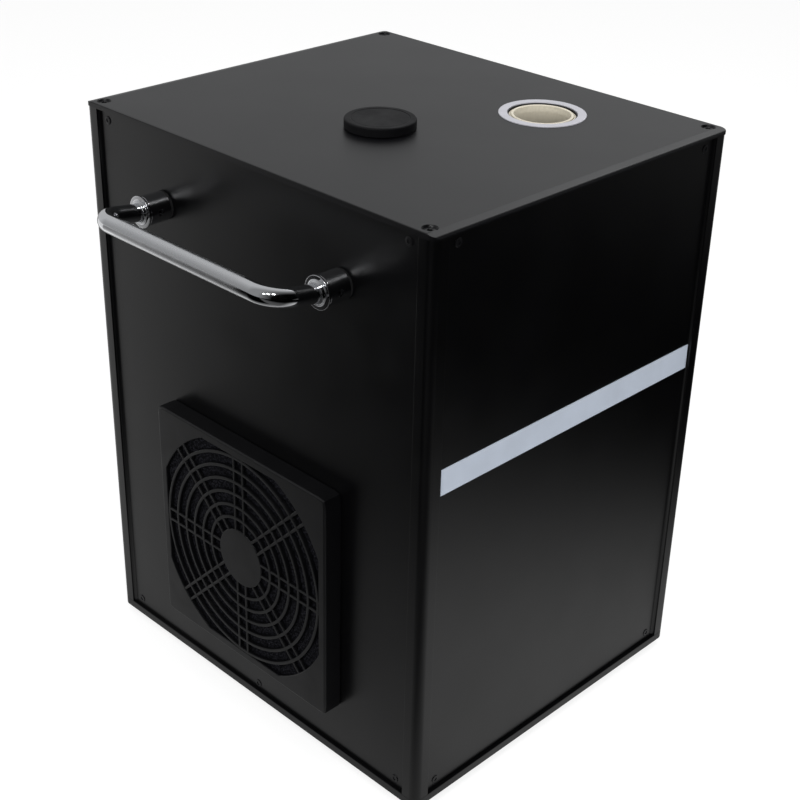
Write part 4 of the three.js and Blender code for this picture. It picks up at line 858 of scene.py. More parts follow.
class SPARK_OT_casing(bpy.types.Operator):
    """Build the top plate, base plate, corner posts and their screws"""

    bl_idname = "spark.casing"
    bl_label = "Casing"

    def top_plate(self, scene):
        c = scene.spark_casing
        t = scene.spark_top
        middle = centre("top_plate")
        plate = spans("top_plate", "top")
        tube = spans("nozzle_tube", "top").width / 2
        bm = bmesh.new()
        levels = soft_edge(plate.back, 0, 0, c.edge)
        holes = []
        for node, radius in (("filler_neck", t.neck), ("nozzle_tube", tube)):
            spot = centre(node) - middle
            holes.append((circle(radius + t.gap, ROUND, spot.x, spot.y), levels))
        sink = c.screw_head + c.screw_gap
        shank = c.screw_shank + c.screw_gap
        start = -c.screw_sink - c.screw_gap
        sunk = [
            (plate.back, c.countersink - shank),
            (start - c.screw_drop, c.countersink - shank),
            (-c.screw_drop, c.countersink - sink),
            (-0.1 * MM, 0.1 * MM),
            (0, 0),
        ]
        for end in ENDS:
            spot = centre("top_screw_" + end) - middle
            holes.append((circle(c.countersink, SMALL_ROUND, spot.x, spot.y), sunk))
        stack(bm, rounded(plate.width, plate.height, c.plate_corner), levels, holes)
        piece(scene, "top_plate_dressed", bm, seat("top_plate", "top"), "anodised_plate",
              replaces=["top_plate"], cutter=self.bevels(c, plate))

    def bevels(self, c, plate):
        """What the bevels along the front and rear take away from the top plate."""
        bm = bmesh.new()
        margin = 3 * MM
        edge = plate.height / 2
        start = edge - c.bevel_width
        line = [(start - 1 * MM, 0, 0), (start, 0, 0), (edge - 0.8 * MM, -c.bevel_height, 0),
                (edge, -c.bevel_height - 1 * MM, 0), (edge + 0.1 * MM, -c.bevel_height - 1.4 * MM, 0)]
        soft = [point[:2] for point in fillet(line, c.edge, 4)[1:-1]]
        section = soft + [(edge + margin, soft[-1][1]), (edge + margin, margin), (soft[0][0], margin)]
        for sign in (-1, 1):
            rows = [
                [bm.verts.new((x, sign * y, z)) for y, z in section]
                for x in (-plate.width / 2 - margin, plate.width / 2 + margin)
            ]
            closed_body(bm, rows)
        return bm

    def base_plate(self, scene):
        c = scene.spark_casing
        low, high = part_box("base_plate")
        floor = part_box("front_panel")[0].z
        middle = centre("base_plate")
        bm = bmesh.new()
        levels = soft_edge(0, floor - low.z, c.base_edge, c.base_edge)
        stack(bm, rounded(high.x - low.x, high.y - low.y, c.corner), levels)
        place = Matrix.Translation((middle.x, middle.y, low.z))
        piece(scene, "base_plate_dressed", bm, place, "painted_case", replaces=["base_plate"])

    def post(self, scene, end):
        c = scene.spark_casing
        node = "corner_post_" + end
        low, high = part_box(node)
        side_x = 1 if "right" in end else -1
        side_y = 1 if "rear" in end else -1
        corner = Vector((high.x if side_x > 0 else low.x, high.y if side_y > 0 else low.y, low.z))
        back = c.recess + c.panel
        flange = back + c.flange
        points = []
        for i in range(9):
            t = math.pi + QUARTER * i / 8
            points.append((c.corner + c.corner * math.cos(t), c.corner + c.corner * math.sin(t)))
        # A hollow rounding laps over the panel's edge by the cove's width.
        foot = c.recess + 0.03 * MM
        rise = [(c.post_face, 0.3 * MM), (c.post_face, foot), (c.post_face + c.cove, foot)]
        hollow = bow(*[Vector(point) for point in rise], 6)
        lip = fillet([(c.corner, 0), (c.post_face, 0), rise[0]], c.lip)[1:-1]
        edge = lip + hollow + [(c.post_face, foot + 0.3 * MM)]
        half = edge + [(c.post_face, back), (c.post_flange, back), (c.post_flange, flange),
                       (c.post_core, flange)]
        points += half + [(c.post_core, c.post_core)] + [(v, u) for u, v in reversed(half)]
        outline = [(-side_x * u, -side_y * v) for u, v in points]
        bm = bmesh.new()
        stack(bm, fixed(outline), [(0, 0), (high.z - low.z, 0)])
        piece(scene, node + "_dressed", bm, Matrix.Translation(corner), "painted_case", replaces=[node])

    def top_screw(self, scene, end):
        c = scene.spark_casing
        node = "top_screw_" + end
        low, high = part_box(node)
        taper = c.screw_head - c.screw_shank
        top = -c.screw_drop
        levels = [(low.z - high.z, taper), (top - c.screw_sink, taper), (top - 0.2 * MM, 0),
                  (top - 0.08 * MM, 0.06 * MM), (top, 0.2 * MM)]
        well = (hexagon(c.socket), [(top - c.socket_depth, 0), (top - 0.15 * MM, 0), (top, -0.12 * MM)])
        bm = bmesh.new()
        stack(bm, circle(c.screw_head, SMALL_ROUND), levels, wells=[well])
        piece(scene, node + "_dressed", bm, seat(node, "top"), "blackened_steel", replaces=[node])

    def execute(self, context):
        scene = context.scene
        self.top_plate(scene)
        self.base_plate(scene)
        for end in ENDS:
            self.post(scene, end)
            self.top_screw(scene, end)
        return {"FINISHED"}


class SPARK_OT_panels(bpy.types.Operator):
    """Finish the four panels and the stripe, and add the small screws that hold the panels"""

    bl_idname = "spark.panels"
    bl_label = "Panels"

    def execute(self, context):
        scene = context.scene
        c = scene.spark_casing
        refinish(scene, [side + "_panel" for side in SIDE_TURNS], "painted_case")
        refinish(scene, ["front_stripe"], "stripe_film")
        for side in SIDE_TURNS:
            node = side + "_panel"
            panel = spans(node, side)
            half_x = panel.width / 2 - c.screw_inset
            half_y = panel.height / 2 - c.screw_rise
            places = [(sx * half_x, sy * half_y) for sx in (-1, 1) for sy in (-1, 1)]
            if side in ("left", "right"):
                places.append((0, -half_y - c.screw_offset))
            bm = bmesh.new()
            for x, y in places:
                levels = soft_edge(-c.screw_proud, c.screw_proud, 0, 0.18 * MM)
                well = (hexagon(c.panel_socket, x, y), [(0.02 * MM, 0), (c.screw_proud, 0)])
                stack(bm, circle(c.panel_screw, SMALL_ROUND, x, y), levels, wells=[well])
            piece(scene, side + "_panel_screws", bm, seat(node, side), "blackened_steel")
        return {"FINISHED"}


class SPARK_OT_handles(bpy.types.Operator):
    """Build both carrying handles with their bosses, washers and grub screws"""

    bl_idname = "spark.handles"
    bl_label = "Handles"

    def rod(self, scene, side):
        h = scene.spark_handles
        node = side + "_handle"
        handle = spans(node, side)
        half = handle.width / 2 - h.rod
        reach = handle.front - h.rod
        mouth = h.boss_length + h.collar_length
        lift = handle.height - 2 * h.rod
        leg = [(half, h.rod_start), (half, mouth - 1 * MM), (half, mouth), (half, mouth + 1.5 * MM)]
        for i in range(17):
            t = QUARTER * i / 16
            leg.append((half - h.bend * (1 - math.cos(t)), reach - h.bend + h.bend * math.sin(t)))
        # The legs rise from the bosses' mouths to the bar, which stands a little above the bosses.
        leg = [(x, lift * (max(0, z - mouth) / (reach - mouth) - 0.5), z) for x, z in leg]
        path = [Vector((-x, y, z)) for x, y, z in leg] + [Vector(point) for point in reversed(leg)]
        bm = bmesh.new()
        sweep(bm, path, h.rod, 40, up=(0, 1, 0))
        piece(scene, node + "_rod", bm, seat(node, side), "chrome", replaces=[node])

    def boss(self, scene, side, end):
        h = scene.spark_handles
        node = f"{side}_handle_boss_{end}"
        place = seat(node, side)
        rim_start = h.boss_length - h.rim_length
        bore = h.rod + 0.1 * MM
        step = 0.5 * MM
        mouth = h.boss_length + h.collar_length
        line = [(0, -h.stud_length), (h.stud, -h.stud_length), (h.stud, h.washer), (h.boss, h.washer),
                (h.boss, rim_start - step), (h.boss - step, rim_start - step), (h.boss - step, rim_start),
                (h.rim, rim_start), (h.rim, h.boss_length), (h.collar + step, h.boss_length),
                (h.collar, h.boss_length + 0.4 * MM), (h.collar, h.boss_length + h.collar_length * 0.6),
                (h.collar - step, mouth), (bore, mouth), (bore, h.boss_floor), (0, h.boss_floor)]
        drill = bmesh.new()
        stack(drill, circle(h.grub, SMALL_ROUND), [(h.boss - h.grub_depth, 0), (h.boss + 2 * MM, 0)])
        along = Matrix.Translation((0, 0, (h.washer + rim_start) / 2))
        toward = 1 if side == "left" else -1
        across = along @ Matrix.Rotation(toward * QUARTER, 4, "Y")
        drill.transform(across)
        turned_piece(scene, node + "_turned", place, "chrome", fillet(line, 0.25 * MM, 3),
                     replaces=[node], cutter=drill)
        grub = bmesh.new()
        floor = h.boss - h.grub_depth
        levels = [(floor - 0.6 * MM, 0), (floor + 0.5 * MM, 0), (floor + 0.65 * MM, 0.15 * MM)]
        well = (hexagon(0.8 * MM), [(floor, 0), (floor + 0.65 * MM, 0)])
        stack(grub, circle(h.grub - 0.1 * MM, SMALL_ROUND), levels, wells=[well])
        grub.transform(across)
        piece(scene, node + "_grub_screw", grub, place, "blackened_steel")
        washer = bmesh.new()
        levels = soft_edge(0, h.washer, 0.15 * MM, 0.15 * MM)
        bore_levels = [(level[0], 0) for level in levels]
        stack(washer, circle(h.washer_radius), levels, [(circle(h.stud + 0.1 * MM), bore_levels)])
        piece(scene, node + "_washer", washer, place, "black_rubber")

    def execute(self, context):
        for side in ("left", "right"):
            self.rod(context.scene, side)
            for end in ("front", "rear"):
                self.boss(context.scene, side, end)
        return {"FINISHED"}


class SPARK_OT_fan_guard(bpy.types.Operator):
    """Build the fan guard's frame, rings, double spokes and hub, and finish what lies behind it"""

    bl_idname = "spark.fan_guard"
    bl_label = "Fan guard"

    def directions(self, g, half):
        """Turns at which every outline of the guard's frame has a point."""
        radius = half - g.frame + g.bulge
        bend = math.acos((half - g.frame) / radius)
        turns = set()
        for k in range(4):
            base = k * QUARTER
            for i in range(9):
                turns.add(round(base - bend + 2 * bend * i / 8, 6))
            for i in range(1, 20):
                turns.add(round(base + bend + (QUARTER - 2 * bend) * i / 20, 6))
        return sorted(turns)

    def opening(self, g, half, turns):
        """The opening's outline: a square whose corners are cut by a circle."""
        flat = half - g.frame
        radius = flat + g.bulge
        def outline(inset=0.0):
            points = []
            for t in turns:
                square = flat / max(abs(math.cos(t)), abs(math.sin(t)))
                reach = min(square, radius) - inset
                points.append((reach * math.cos(t), reach * math.sin(t)))
            return points
        return outline

    def square(self, half, corner, turns):
        """A rounded square's outline at the same turns."""
        def outline(inset=0.0):
            points = []
            h, r = half - inset, max(corner - inset, 0.05 * MM)
            for t in turns:
                x, y = abs(math.cos(t)), abs(math.sin(t))
                reach = h / max(x, y)
                c = h - r
                if reach * min(x, y) > c:
                    b = c * (x + y)
                    reach = b + math.sqrt(max(0.0, b * b - 2 * c * c + r * r))
                points.append((reach * math.cos(t), reach * math.sin(t)))
            return points
        return outline

    def band(self, bm, inner, outer, low, high, edge, count=144):
        """A flat ring with softened front edges."""
        profile = [(inner, low), (inner, high - edge), (inner + edge * 0.3, high - edge * 0.3),
                   (inner + edge, high), (outer - edge, high), (outer - edge * 0.3, high - edge * 0.3),
                   (outer, high - edge), (outer, low)]
        lathe(bm, profile, count, closed=True)

    def bar(self, bm, angle, offset, start, end, width, low, high, edge):
        """One straight bar of a double spoke."""
        half = width / 2
        section = [(-half, low), (half, low), (half, high - edge), (half - edge, high),
                   (-half + edge, high), (-half, high - edge)]
        rows = []
        for along in (start, end):
            row = []
            for across, z in section:
                x, y = along, offset + across
                row.append(bm.verts.new((
                    x * math.cos(angle) - y * math.sin(angle),
                    x * math.sin(angle) + y * math.cos(angle),
                    z,
                )))
            rows.append(row)
        closed_body(bm, rows)

    def execute(self, context):
        scene = context.scene
        g = scene.spark_guard
        node = "fan_guard"
        guard = spans(node, "left")
        half = guard.width / 2
        start, top = guard.back, guard.front
        face = top - g.face
        turns = self.directions(g, half)
        bm = bmesh.new()
        outer_levels = soft_edge(start, top, 0.2 * MM, g.edge, 4)
        outer = loops(bm, self.square(half, g.corner, turns), outer_levels)
        inner = loops(bm, self.square(half - g.wall, g.corner, turns), [(start, 0), (face, 0)])
        lip = [(face, 0), (top - g.bar_edge, 0), (top, -g.bar_edge)]
        mouth = loops(bm, self.opening(g, half, turns), lip)
        wall(bm, outer)
        for rows in (inner, mouth, (outer[0], inner[0]), (inner[-1], mouth[0]), (outer[-1], mouth[-1])):
            wall(bm, rows)
        last = half - g.frame - g.ring_merge
        pitch = (last - g.first_ring) / (g.rings - 1)
        bar_face = top - 0.15 * MM
        for i in range(g.rings):
            middle = g.first_ring + i * pitch
            self.band(bm, middle - g.ring_width / 2, middle + g.ring_width / 2, face, bar_face, g.bar_edge)
        hub = [(0, face), (g.hub, face), (g.hub, bar_face - g.bar_edge), (g.hub - g.bar_edge, bar_face),
               (0, bar_face)]
        lathe(bm, fillet(hub, g.bar_edge, 2))
        for k in range(g.spokes):
            angle = 2 * math.pi * k / g.spokes
            end = half - g.frame + 0.5 * MM if k % 2 == 0 else half - g.frame + g.bulge + 0.5 * MM
            for side in (-1, 1):
                self.bar(bm, angle, side * g.spoke_pitch / 2, g.hub - 1 * MM, end, g.spoke_width,
                         face + 0.1 * MM, bar_face - 0.02 * MM, g.bar_edge)
        piece(scene, "fan_guard_grille", bm, seat(node, "left"), "black_plastic", replaces=[node])
        refinish(scene, ["guard_base", "fan_frame", "fan_impeller"], "black_plastic")
        refinish(scene, ["filter_foam"], "filter_foam")
        return {"FINISHED"}


class SPARK_OT_filler_cap(bpy.types.Operator):
    """Build the filler cap"""

    bl_idname = "spark.filler_cap"
    bl_label = "Filler cap"

    def execute(self, context):
        scene = context.scene
        t = scene.spark_top
        node = "filler_cap"
        cap = spans(node, "top")
        radius, top = cap.width / 2, cap.front
        inside, skirt = radius - t.cap_rim, radius - t.cap_skirt
        plug, bore = t.cap_plug_radius, t.cap_plug_radius - t.cap_plug
        under = top - t.cap_skin
        rim = [(0, top - 0.12 * MM), (inside - 0.3 * MM - t.cap_groove, top - 0.12 * MM),
               (inside - 0.3 * MM, top - 0.25 * MM), (inside, top), (radius, top), (radius, 0.3 * MM),
               (skirt, 0.3 * MM), (skirt, under), (plug, under), (plug, cap.back), (bore, cap.back),
               (bore, under), (0, under)]
        line = []
        for i, point in enumerate(rim):
            reach = t.cap_edge if point == (radius, top) else 0.2 * MM
            if i in (0, len(rim) - 1):
                line.append(point)
            else:
                line += fillet([rim[i - 1], point, rim[i + 1]], reach, 5)[1:-1]
        turned_piece(scene, "filler_cap_moulded", seat(node, "top"), "cap_plastic", line, FINE_ROUND,
                     body=node, replaces=[node], slot="black_plastic")
        return {"FINISHED"}


class SPARK_OT_nozzle(bpy.types.Operator):
    """Build the white ring and the ceramic tube of the spark nozzle"""

    bl_idname = "spark.nozzle"
    bl_label = "Nozzle"

    def execute(self, context):
        scene = context.scene
        t = scene.spark_top
        span = spans("nozzle_ring", "top")
        radius, height = span.width / 2, span.front - span.back
        ring = [(t.ring_bore, 0), (t.ring_bore, height), (radius, height), (radius, 0)]
        turned_piece(scene, "nozzle_ring_enamelled", seat("nozzle_ring", "top"), "white_enamel",
                     fillet(ring, t.ring_edge, 5), FINE_ROUND, True, replaces=["nozzle_ring"])
        span = spans("nozzle_tube", "top")
        radius, top, ledge = span.width / 2, span.front, span.front - t.tube_ledge
        tube = [(t.tube_bore, span.back), (t.tube_bore, top - t.mouth_depth), (t.mouth, top),
                (t.tube_rim, top), (t.tube_rim, ledge), (radius, ledge), (radius, span.back)]
        turned_piece(scene, "nozzle_tube_fired", seat("nozzle_tube", "top"), "cream_ceramic",
                     fillet(tube, t.tube_edge, 4), FINE_ROUND, True, replaces=["nozzle_tube"])
        return {"FINISHED"}


class SPARK_OT_feet(bpy.types.Operator):
    """Build the four rubber feet"""

    bl_idname = "spark.feet"
    bl_label = "Feet"

    def execute(self, context):
        scene = context.scene
        t = scene.spark_top
        for end in ENDS:
            node = "foot_" + end
            low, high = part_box(node)
            middle = centre(node)
            radius, height = (high.x - low.x) / 2, high.z - low.z
            line = [(0, t.foot_recess_depth), (t.foot_recess, t.foot_recess_depth), (t.foot_recess, 0),
                    (t.foot_face, 0), (radius, height), (0, height)]
            place = Matrix.Translation((middle.x, middle.y, low.z))
            turned_piece(scene, node + "_moulded", place, "black_rubber", fillet(line, 0.5 * MM, 4),
                         MEDIUM_ROUND, replaces=[node])
        return {"FINISHED"}


class SPARK_OT_display(bpy.types.Operator):
    """Build the display's bezel and window and the four dished buttons"""

    bl_idname = "spark.display"
    bl_label = "Display"

    def marks(self, name, radius, width):
        """The strokes of a button's mark, as a list of outlines."""
        r = radius
        if name == "menu":
            return [rounded(1.5 * r, width, width / 3, 0, k * r * 0.5) for k in (-1, 0, 1)]
        if name == "enter":
            return [circle(r * 0.55, 24)]
        flip = 1 if name == "up" else -1
        return [fixed([(-r * 0.8, -flip * r * 0.5), (r * 0.8, -flip * r * 0.5), (0, flip * r * 0.8)])]

    def execute(self, context):
        scene = context.scene
        r = scene.spark_rear
        node = "display_bezel"
        bezel = spans(node, "rear")
        top = bezel.front - bezel.back
        bm = bmesh.new()
        levels = soft_edge(0, top, 0, r.bezel_edge, 4)
        slope = [(0, 0), (top - 1.2 * MM, 0), (top - 0.1 * MM, -1.1 * MM), (top, -1.3 * MM)]
        window = (rounded(r.window_width, r.window_height, 1.2 * MM), slope)
        stack(bm, rounded(bezel.width, bezel.height, r.bezel_corner), levels, [window])
        piece(scene, "display_bezel_moulded", bm, seat(node, "rear"), "gloss_black_plastic", replaces=[node])
        refinish(scene, ["display_screen"], "screen_glass")
        refinish(scene, ["control_board"], "circuit_board")
        for name in ("menu", "up", "down", "enter"):
            node = "button_" + name
            place = seat(node, "rear")
            button = spans(node, "rear")
            radius, bottom, top = button.width / 2, button.back, button.front
            flange = bottom + 1.2 * MM
            line = [(0, bottom), (radius, bottom), (radius, flange), (r.button, flange), (r.button, top),
                    (r.button - 1.1 * MM, top), (0, top - r.button_dish)]
            turned_piece(scene, node + "_moulded", place, "black_rubber", fillet(line, r.button_edge, 4),
                         MEDIUM_ROUND, body=node, replaces=[node])
            ink = bmesh.new()
            for outline in self.marks(name, 1.9 * MM, r.mark):
                stack(ink, outline, [(top - 1.0 * MM, 0), (top - 0.12 * MM, 0)])
            piece(scene, node + "_mark", ink, place, "ink", node, slot="stripe_film")
        return {"FINISHED"}


class SPARK_OT_power_switch(bpy.types.Operator):
    """Build the power switch's frame and its rocker with the two usual marks"""

    bl_idname = "spark.power_switch"
    bl_label = "Power switch"

    def frame(self, scene):
        r = scene.spark_rear
        node = "power_switch_frame"
        switch = spans(node, "rear")
        walls = 2 * r.switch_wall
        bm = bmesh.new()
        outline = rounded(switch.width, switch.height, r.switch_corner)
        shell = rounded(r.switch_window_width + walls, r.switch_window_height + walls, 0.6 * MM)
        window = rounded(r.switch_window_width, r.switch_window_height, 0.8 * MM)
        mouth = [(0, 0), (r.rim - 0.4 * MM, 0), (r.rim, -0.4 * MM)]
        stack(bm, outline, soft_edge(0, r.rim, 0, 0.7 * MM, 4), [(window, mouth)])
        floor = switch.back + r.switch_wall
        stack(bm, shell, [(switch.back, 0), (0, 0)], wells=[(window, [(floor, 0), (0, 0)])])
        piece(scene, "power_switch_bezel", bm, seat(node, "rear"), "black_plastic", replaces=[node])

    def rocker(self, scene):
        half = scene.spark_rear.rocker_half
        node = "power_rocker"
        joint = next(j for j in frame["joints"] if j["child"] == node)
        section = [(-12, 3.6), (-11.6, -2), (-4, -6), (4, -6), (11.6, -2), (12, 3.6),
                   (ROCKER_BEND, 3.1), (4, 2.4), (0, 2.2), (-4, 2.4), (-ROCKER_BEND, 3.1)]
        outline = fillet([(y * MM, z * MM) for y, z in section], 0.5 * MM, 4, closed=True)
        bm = bmesh.new()
        # The section lies in y and z, and the ends of the rocker are slightly rounded.
        rows = []
        for x, inset in soft_edge(-half, half, 0.4 * MM, 0.4 * MM):
            shrink = 1 - inset / (9 * MM)
            rows.append([bm.verts.new((x, y * shrink, z * shrink)) for y, z in outline])
        closed_body(bm, rows)
        place = Matrix.Translation(joint["pos_m"]) @ Matrix.Rotation(QUARTER, 4, "X")
        place = place @ Matrix.Rotation(math.pi, 4, "Y") @ Matrix.Rotation(ROCKER_TILT, 4, "X")
        piece(scene, "power_rocker_moulded", bm, place, "red_plastic", node, [node])
        ink = bmesh.new()
        levels = [(2 * MM, 0), (3.12 * MM, 0)]
        stack(ink, rounded(0.9 * MM, 4.4 * MM, 0.2 * MM, 0, 7 * MM), levels)
        hole = (circle(1.5 * MM, 32, 0, -7 * MM), levels)
        stack(ink, circle(2.3 * MM, 32, 0, -7 * MM), levels, [hole])
        # The marks follow the rocker's slopes, which are less steep beyond its bends.
        for vert in ink.verts:
            out = abs(vert.co.y) - ROCKER_BEND * MM
            vert.co.z += (0.175 if out < 0 else 0.125) * out + 0.06 * MM
        piece(scene, "power_rocker_marks", ink, place, "ink", node, slot="stripe_film")

    def execute(self, context):
        self.frame(context.scene)
        self.rocker(context.scene)
        return {"FINISHED"}


class SPARK_OT_sockets(bpy.types.Operator):
    """Build the power inlet, the fuse holder with its cap and the two signal sockets"""

    bl_idname = "spark.sockets"
    bl_label = "Sockets"

    def flange(self, span, corner, well, spots, screw):
        """A mesh of a socket's flange with its countersinks, and one of the screws in them."""
        top = span.front
        sinks = [(circle(screw.radius, 24, x, y), [(0.1 * MM, screw.taper), (top, 0)]) for x, y in spots]
        bm = bmesh.new()
        outline = rounded(span.width, span.height, corner)
        stack(bm, outline, soft_edge(0, top, 0, 0.5 * MM), [well], sinks)
        top -= 0.1 * MM
        levels = [(0.2 * MM, screw.taper), (top - 0.15 * MM, 0), (top, 0.2 * MM)]
        heads = bmesh.new()
        for x, y in spots:
            drive = (hexagon(screw.socket, x, y), [(top - screw.depth, 0), (top, 0)])
            stack(heads, circle(screw.radius - 0.15 * MM, 24, x, y), levels, wells=[drive])
        return bm, heads

    def inlet(self, scene):
        r = scene.spark_rear
        node = "power_inlet"
        span = spans(node, "rear")
        place = seat(node, "rear")
        x, y, c = r.inlet_width / 2, r.inlet_height / 2, r.inlet_chamfer
        corners = [(-x, -y), (x, -y), (x, y - c), (x - c, y), (c - x, y), (-x, y - c)]
        well = fixed(fillet(corners, 0.8 * MM, 3, closed=True))
        floor = span.front - r.inlet_depth
        spots = [(sign * r.inlet_screw, 0) for sign in (-1, 1)]
        mouth = (well, [(0, 0), (span.front, 0)])
        bm, heads = self.flange(span, r.inlet_corner, mouth, spots, INLET_SCREW)
        shell = rounded(r.inlet_shell_width, r.inlet_shell_height, 1 * MM)
        stack(bm, shell, [(span.back, 0), (0, 0)], wells=[(well, [(floor, 0), (0, 0)])])
        piece(scene, "power_inlet_moulded", bm, place, "black_plastic", replaces=[node])
        pins = bmesh.new()
        levels = soft_edge(floor - 0.5 * MM, floor + r.inlet_pin, 0, 0.6 * MM)
        for across, up in ((-1, -1), (0, 1), (1, -1)):
            blade = rounded(2 * MM, 4 * MM, 0.4 * MM, across * r.inlet_pitch, up * 2 * MM)
            stack(pins, blade, levels)
        piece(scene, "power_inlet_pins", pins, place, "contact", slot="chrome")
        piece(scene, "power_inlet_screws", heads, place, "blackened_steel")

    def fuse(self, scene):
        r = scene.spark_rear
        node = "fuse_holder"
        back = spans(node, "rear").back
        floor = back + 2 * MM
        line = [(0, back), (r.fuse_body, back), (r.fuse_body, 0), (r.fuse_rim, 0),
                (r.fuse_rim, r.rim), (r.fuse_bore, r.rim), (r.fuse_bore, floor), (0, floor)]
        turned_piece(scene, "fuse_holder_moulded", seat(node, "rear"), "black_plastic",
                     fillet(line, 0.5 * MM, 3), MEDIUM_ROUND, replaces=[node])
        node = "fuse_cap"
        cap = spans(node, "rear")
        bottom, top = cap.back, cap.front
        start = r.rim + 0.3 * MM

        def ribbed(inset=0.0):
            points = []
            for i in range(6 * FUSE_RIBS):
                t = 2 * math.pi * i / (6 * FUSE_RIBS)
                reach = cap.width / 2 - inset - r.fuse_rib * (0.5 - 0.5 * math.cos(FUSE_RIBS * t))
                points.append((reach * math.cos(t), reach * math.sin(t)))
            return points

        x, y = 0.7 * MM, 5 * MM
        slot = (fixed([(-x, -y), (x, -y), (x, y), (-x, y)]), [(top - 1.2 * MM, 0), (top, 0)])
        bm = bmesh.new()
        stack(bm, ribbed, soft_edge(start, top, 0.3 * MM, 0.7 * MM), wells=[slot])
        stem = [(bottom, 0.4 * MM), (bottom + 0.4 * MM, 0), (start, 0)]
        stack(bm, circle(r.fuse_bore - 0.3 * MM, MEDIUM_ROUND), stem)
        piece(scene, "fuse_cap_moulded", bm, seat(node, "rear"), "gloss_black_plastic", "fuse_cap", [node])

    def signal(self, scene, node, deep):
        r = scene.spark_rear
        span = spans(node, "rear")
        place = seat(node, "rear")
        top = span.front
        floor = top - (r.socket_depth if deep else 1.6 * MM)
        spots = [(sign * r.socket_screw_x, -sign * r.socket_screw_y) for sign in (-1, 1)]
        turns = [QUARTER + k * 2 * math.pi / 3 for k in range(3)]
        contacts = [(r.socket_ring * math.cos(t), r.socket_ring * math.sin(t)) for t in turns]
        mouth = circle(r.socket_well)
        lip = (mouth, [(0, 0), (top - 0.3 * MM, 0), (top, -0.3 * MM)])
        bm, heads = self.flange(span, r.socket_corner, lip, spots, SOCKET_SCREW)
        wells = [(mouth, [(floor, 0), (0, 0)])] if deep else []
        stack(bm, circle(r.socket_shell), [(span.back, 0), (0, 0)], wells=wells)
        piece(scene, node + "_shell", bm, place, "blackened_steel", replaces=[node])
        bm = bmesh.new()
        if deep:
            levels = soft_edge(floor - 0.5 * MM, floor + r.socket_pin, 0, 0.6 * MM)
            for x, y in contacts:
                stack(bm, circle(1.25 * MM, 24, x, y), levels)
            piece(scene, node + "_pins", bm, place, "contact", slot="chrome")
        else:
            top = floor + 0.9 * MM
            levels = [(top - 0.8 * MM, 0), (top - 0.3 * MM, 0), (top, -0.3 * MM)]
            wells = [(circle(1.6 * MM, 24, x, y), levels) for x, y in contacts]
            insert = circle(r.socket_well - 0.2 * MM)
            stack(bm, insert, soft_edge(0.02 * MM, top, 0, 0.3 * MM), wells=wells)
            piece(scene, node + "_insert", bm, place, "black_plastic")
        piece(scene, node + "_screws", heads, place, "blackened_steel")

    def execute(self, context):
        scene = context.scene
        self.inlet(scene)
        self.fuse(scene)
        self.signal(scene, "signal_in_socket", True)
        self.signal(scene, "signal_out_socket", False)
        return {"FINISHED"}


class SPARK_OT_inside(bpy.types.Operator):
    """Finish the nodes inside the casing"""

    bl_idname = "spark.inside"
    bl_label = "Inside"

    def execute(self, context):
        scene = context.scene
        refinish(scene, ("filler_neck", "hopper", "heating_chamber"), "bare_steel")
        refinish(scene, ("feed_barrel", "feed_auger", "feed_coupling"), "bare_steel")
        refinish(scene, ("inner_bridge", "power_supply"), "zinc_sheet")
        refinish(scene, ("heater_sleeve",), "fibre_jacket")
        refinish(scene, ("feed_motor",), "blackened_steel")
        refinish(scene, ("blower_housing", "blower_wheel"), "black_plastic")
        return {"FINISHED"}


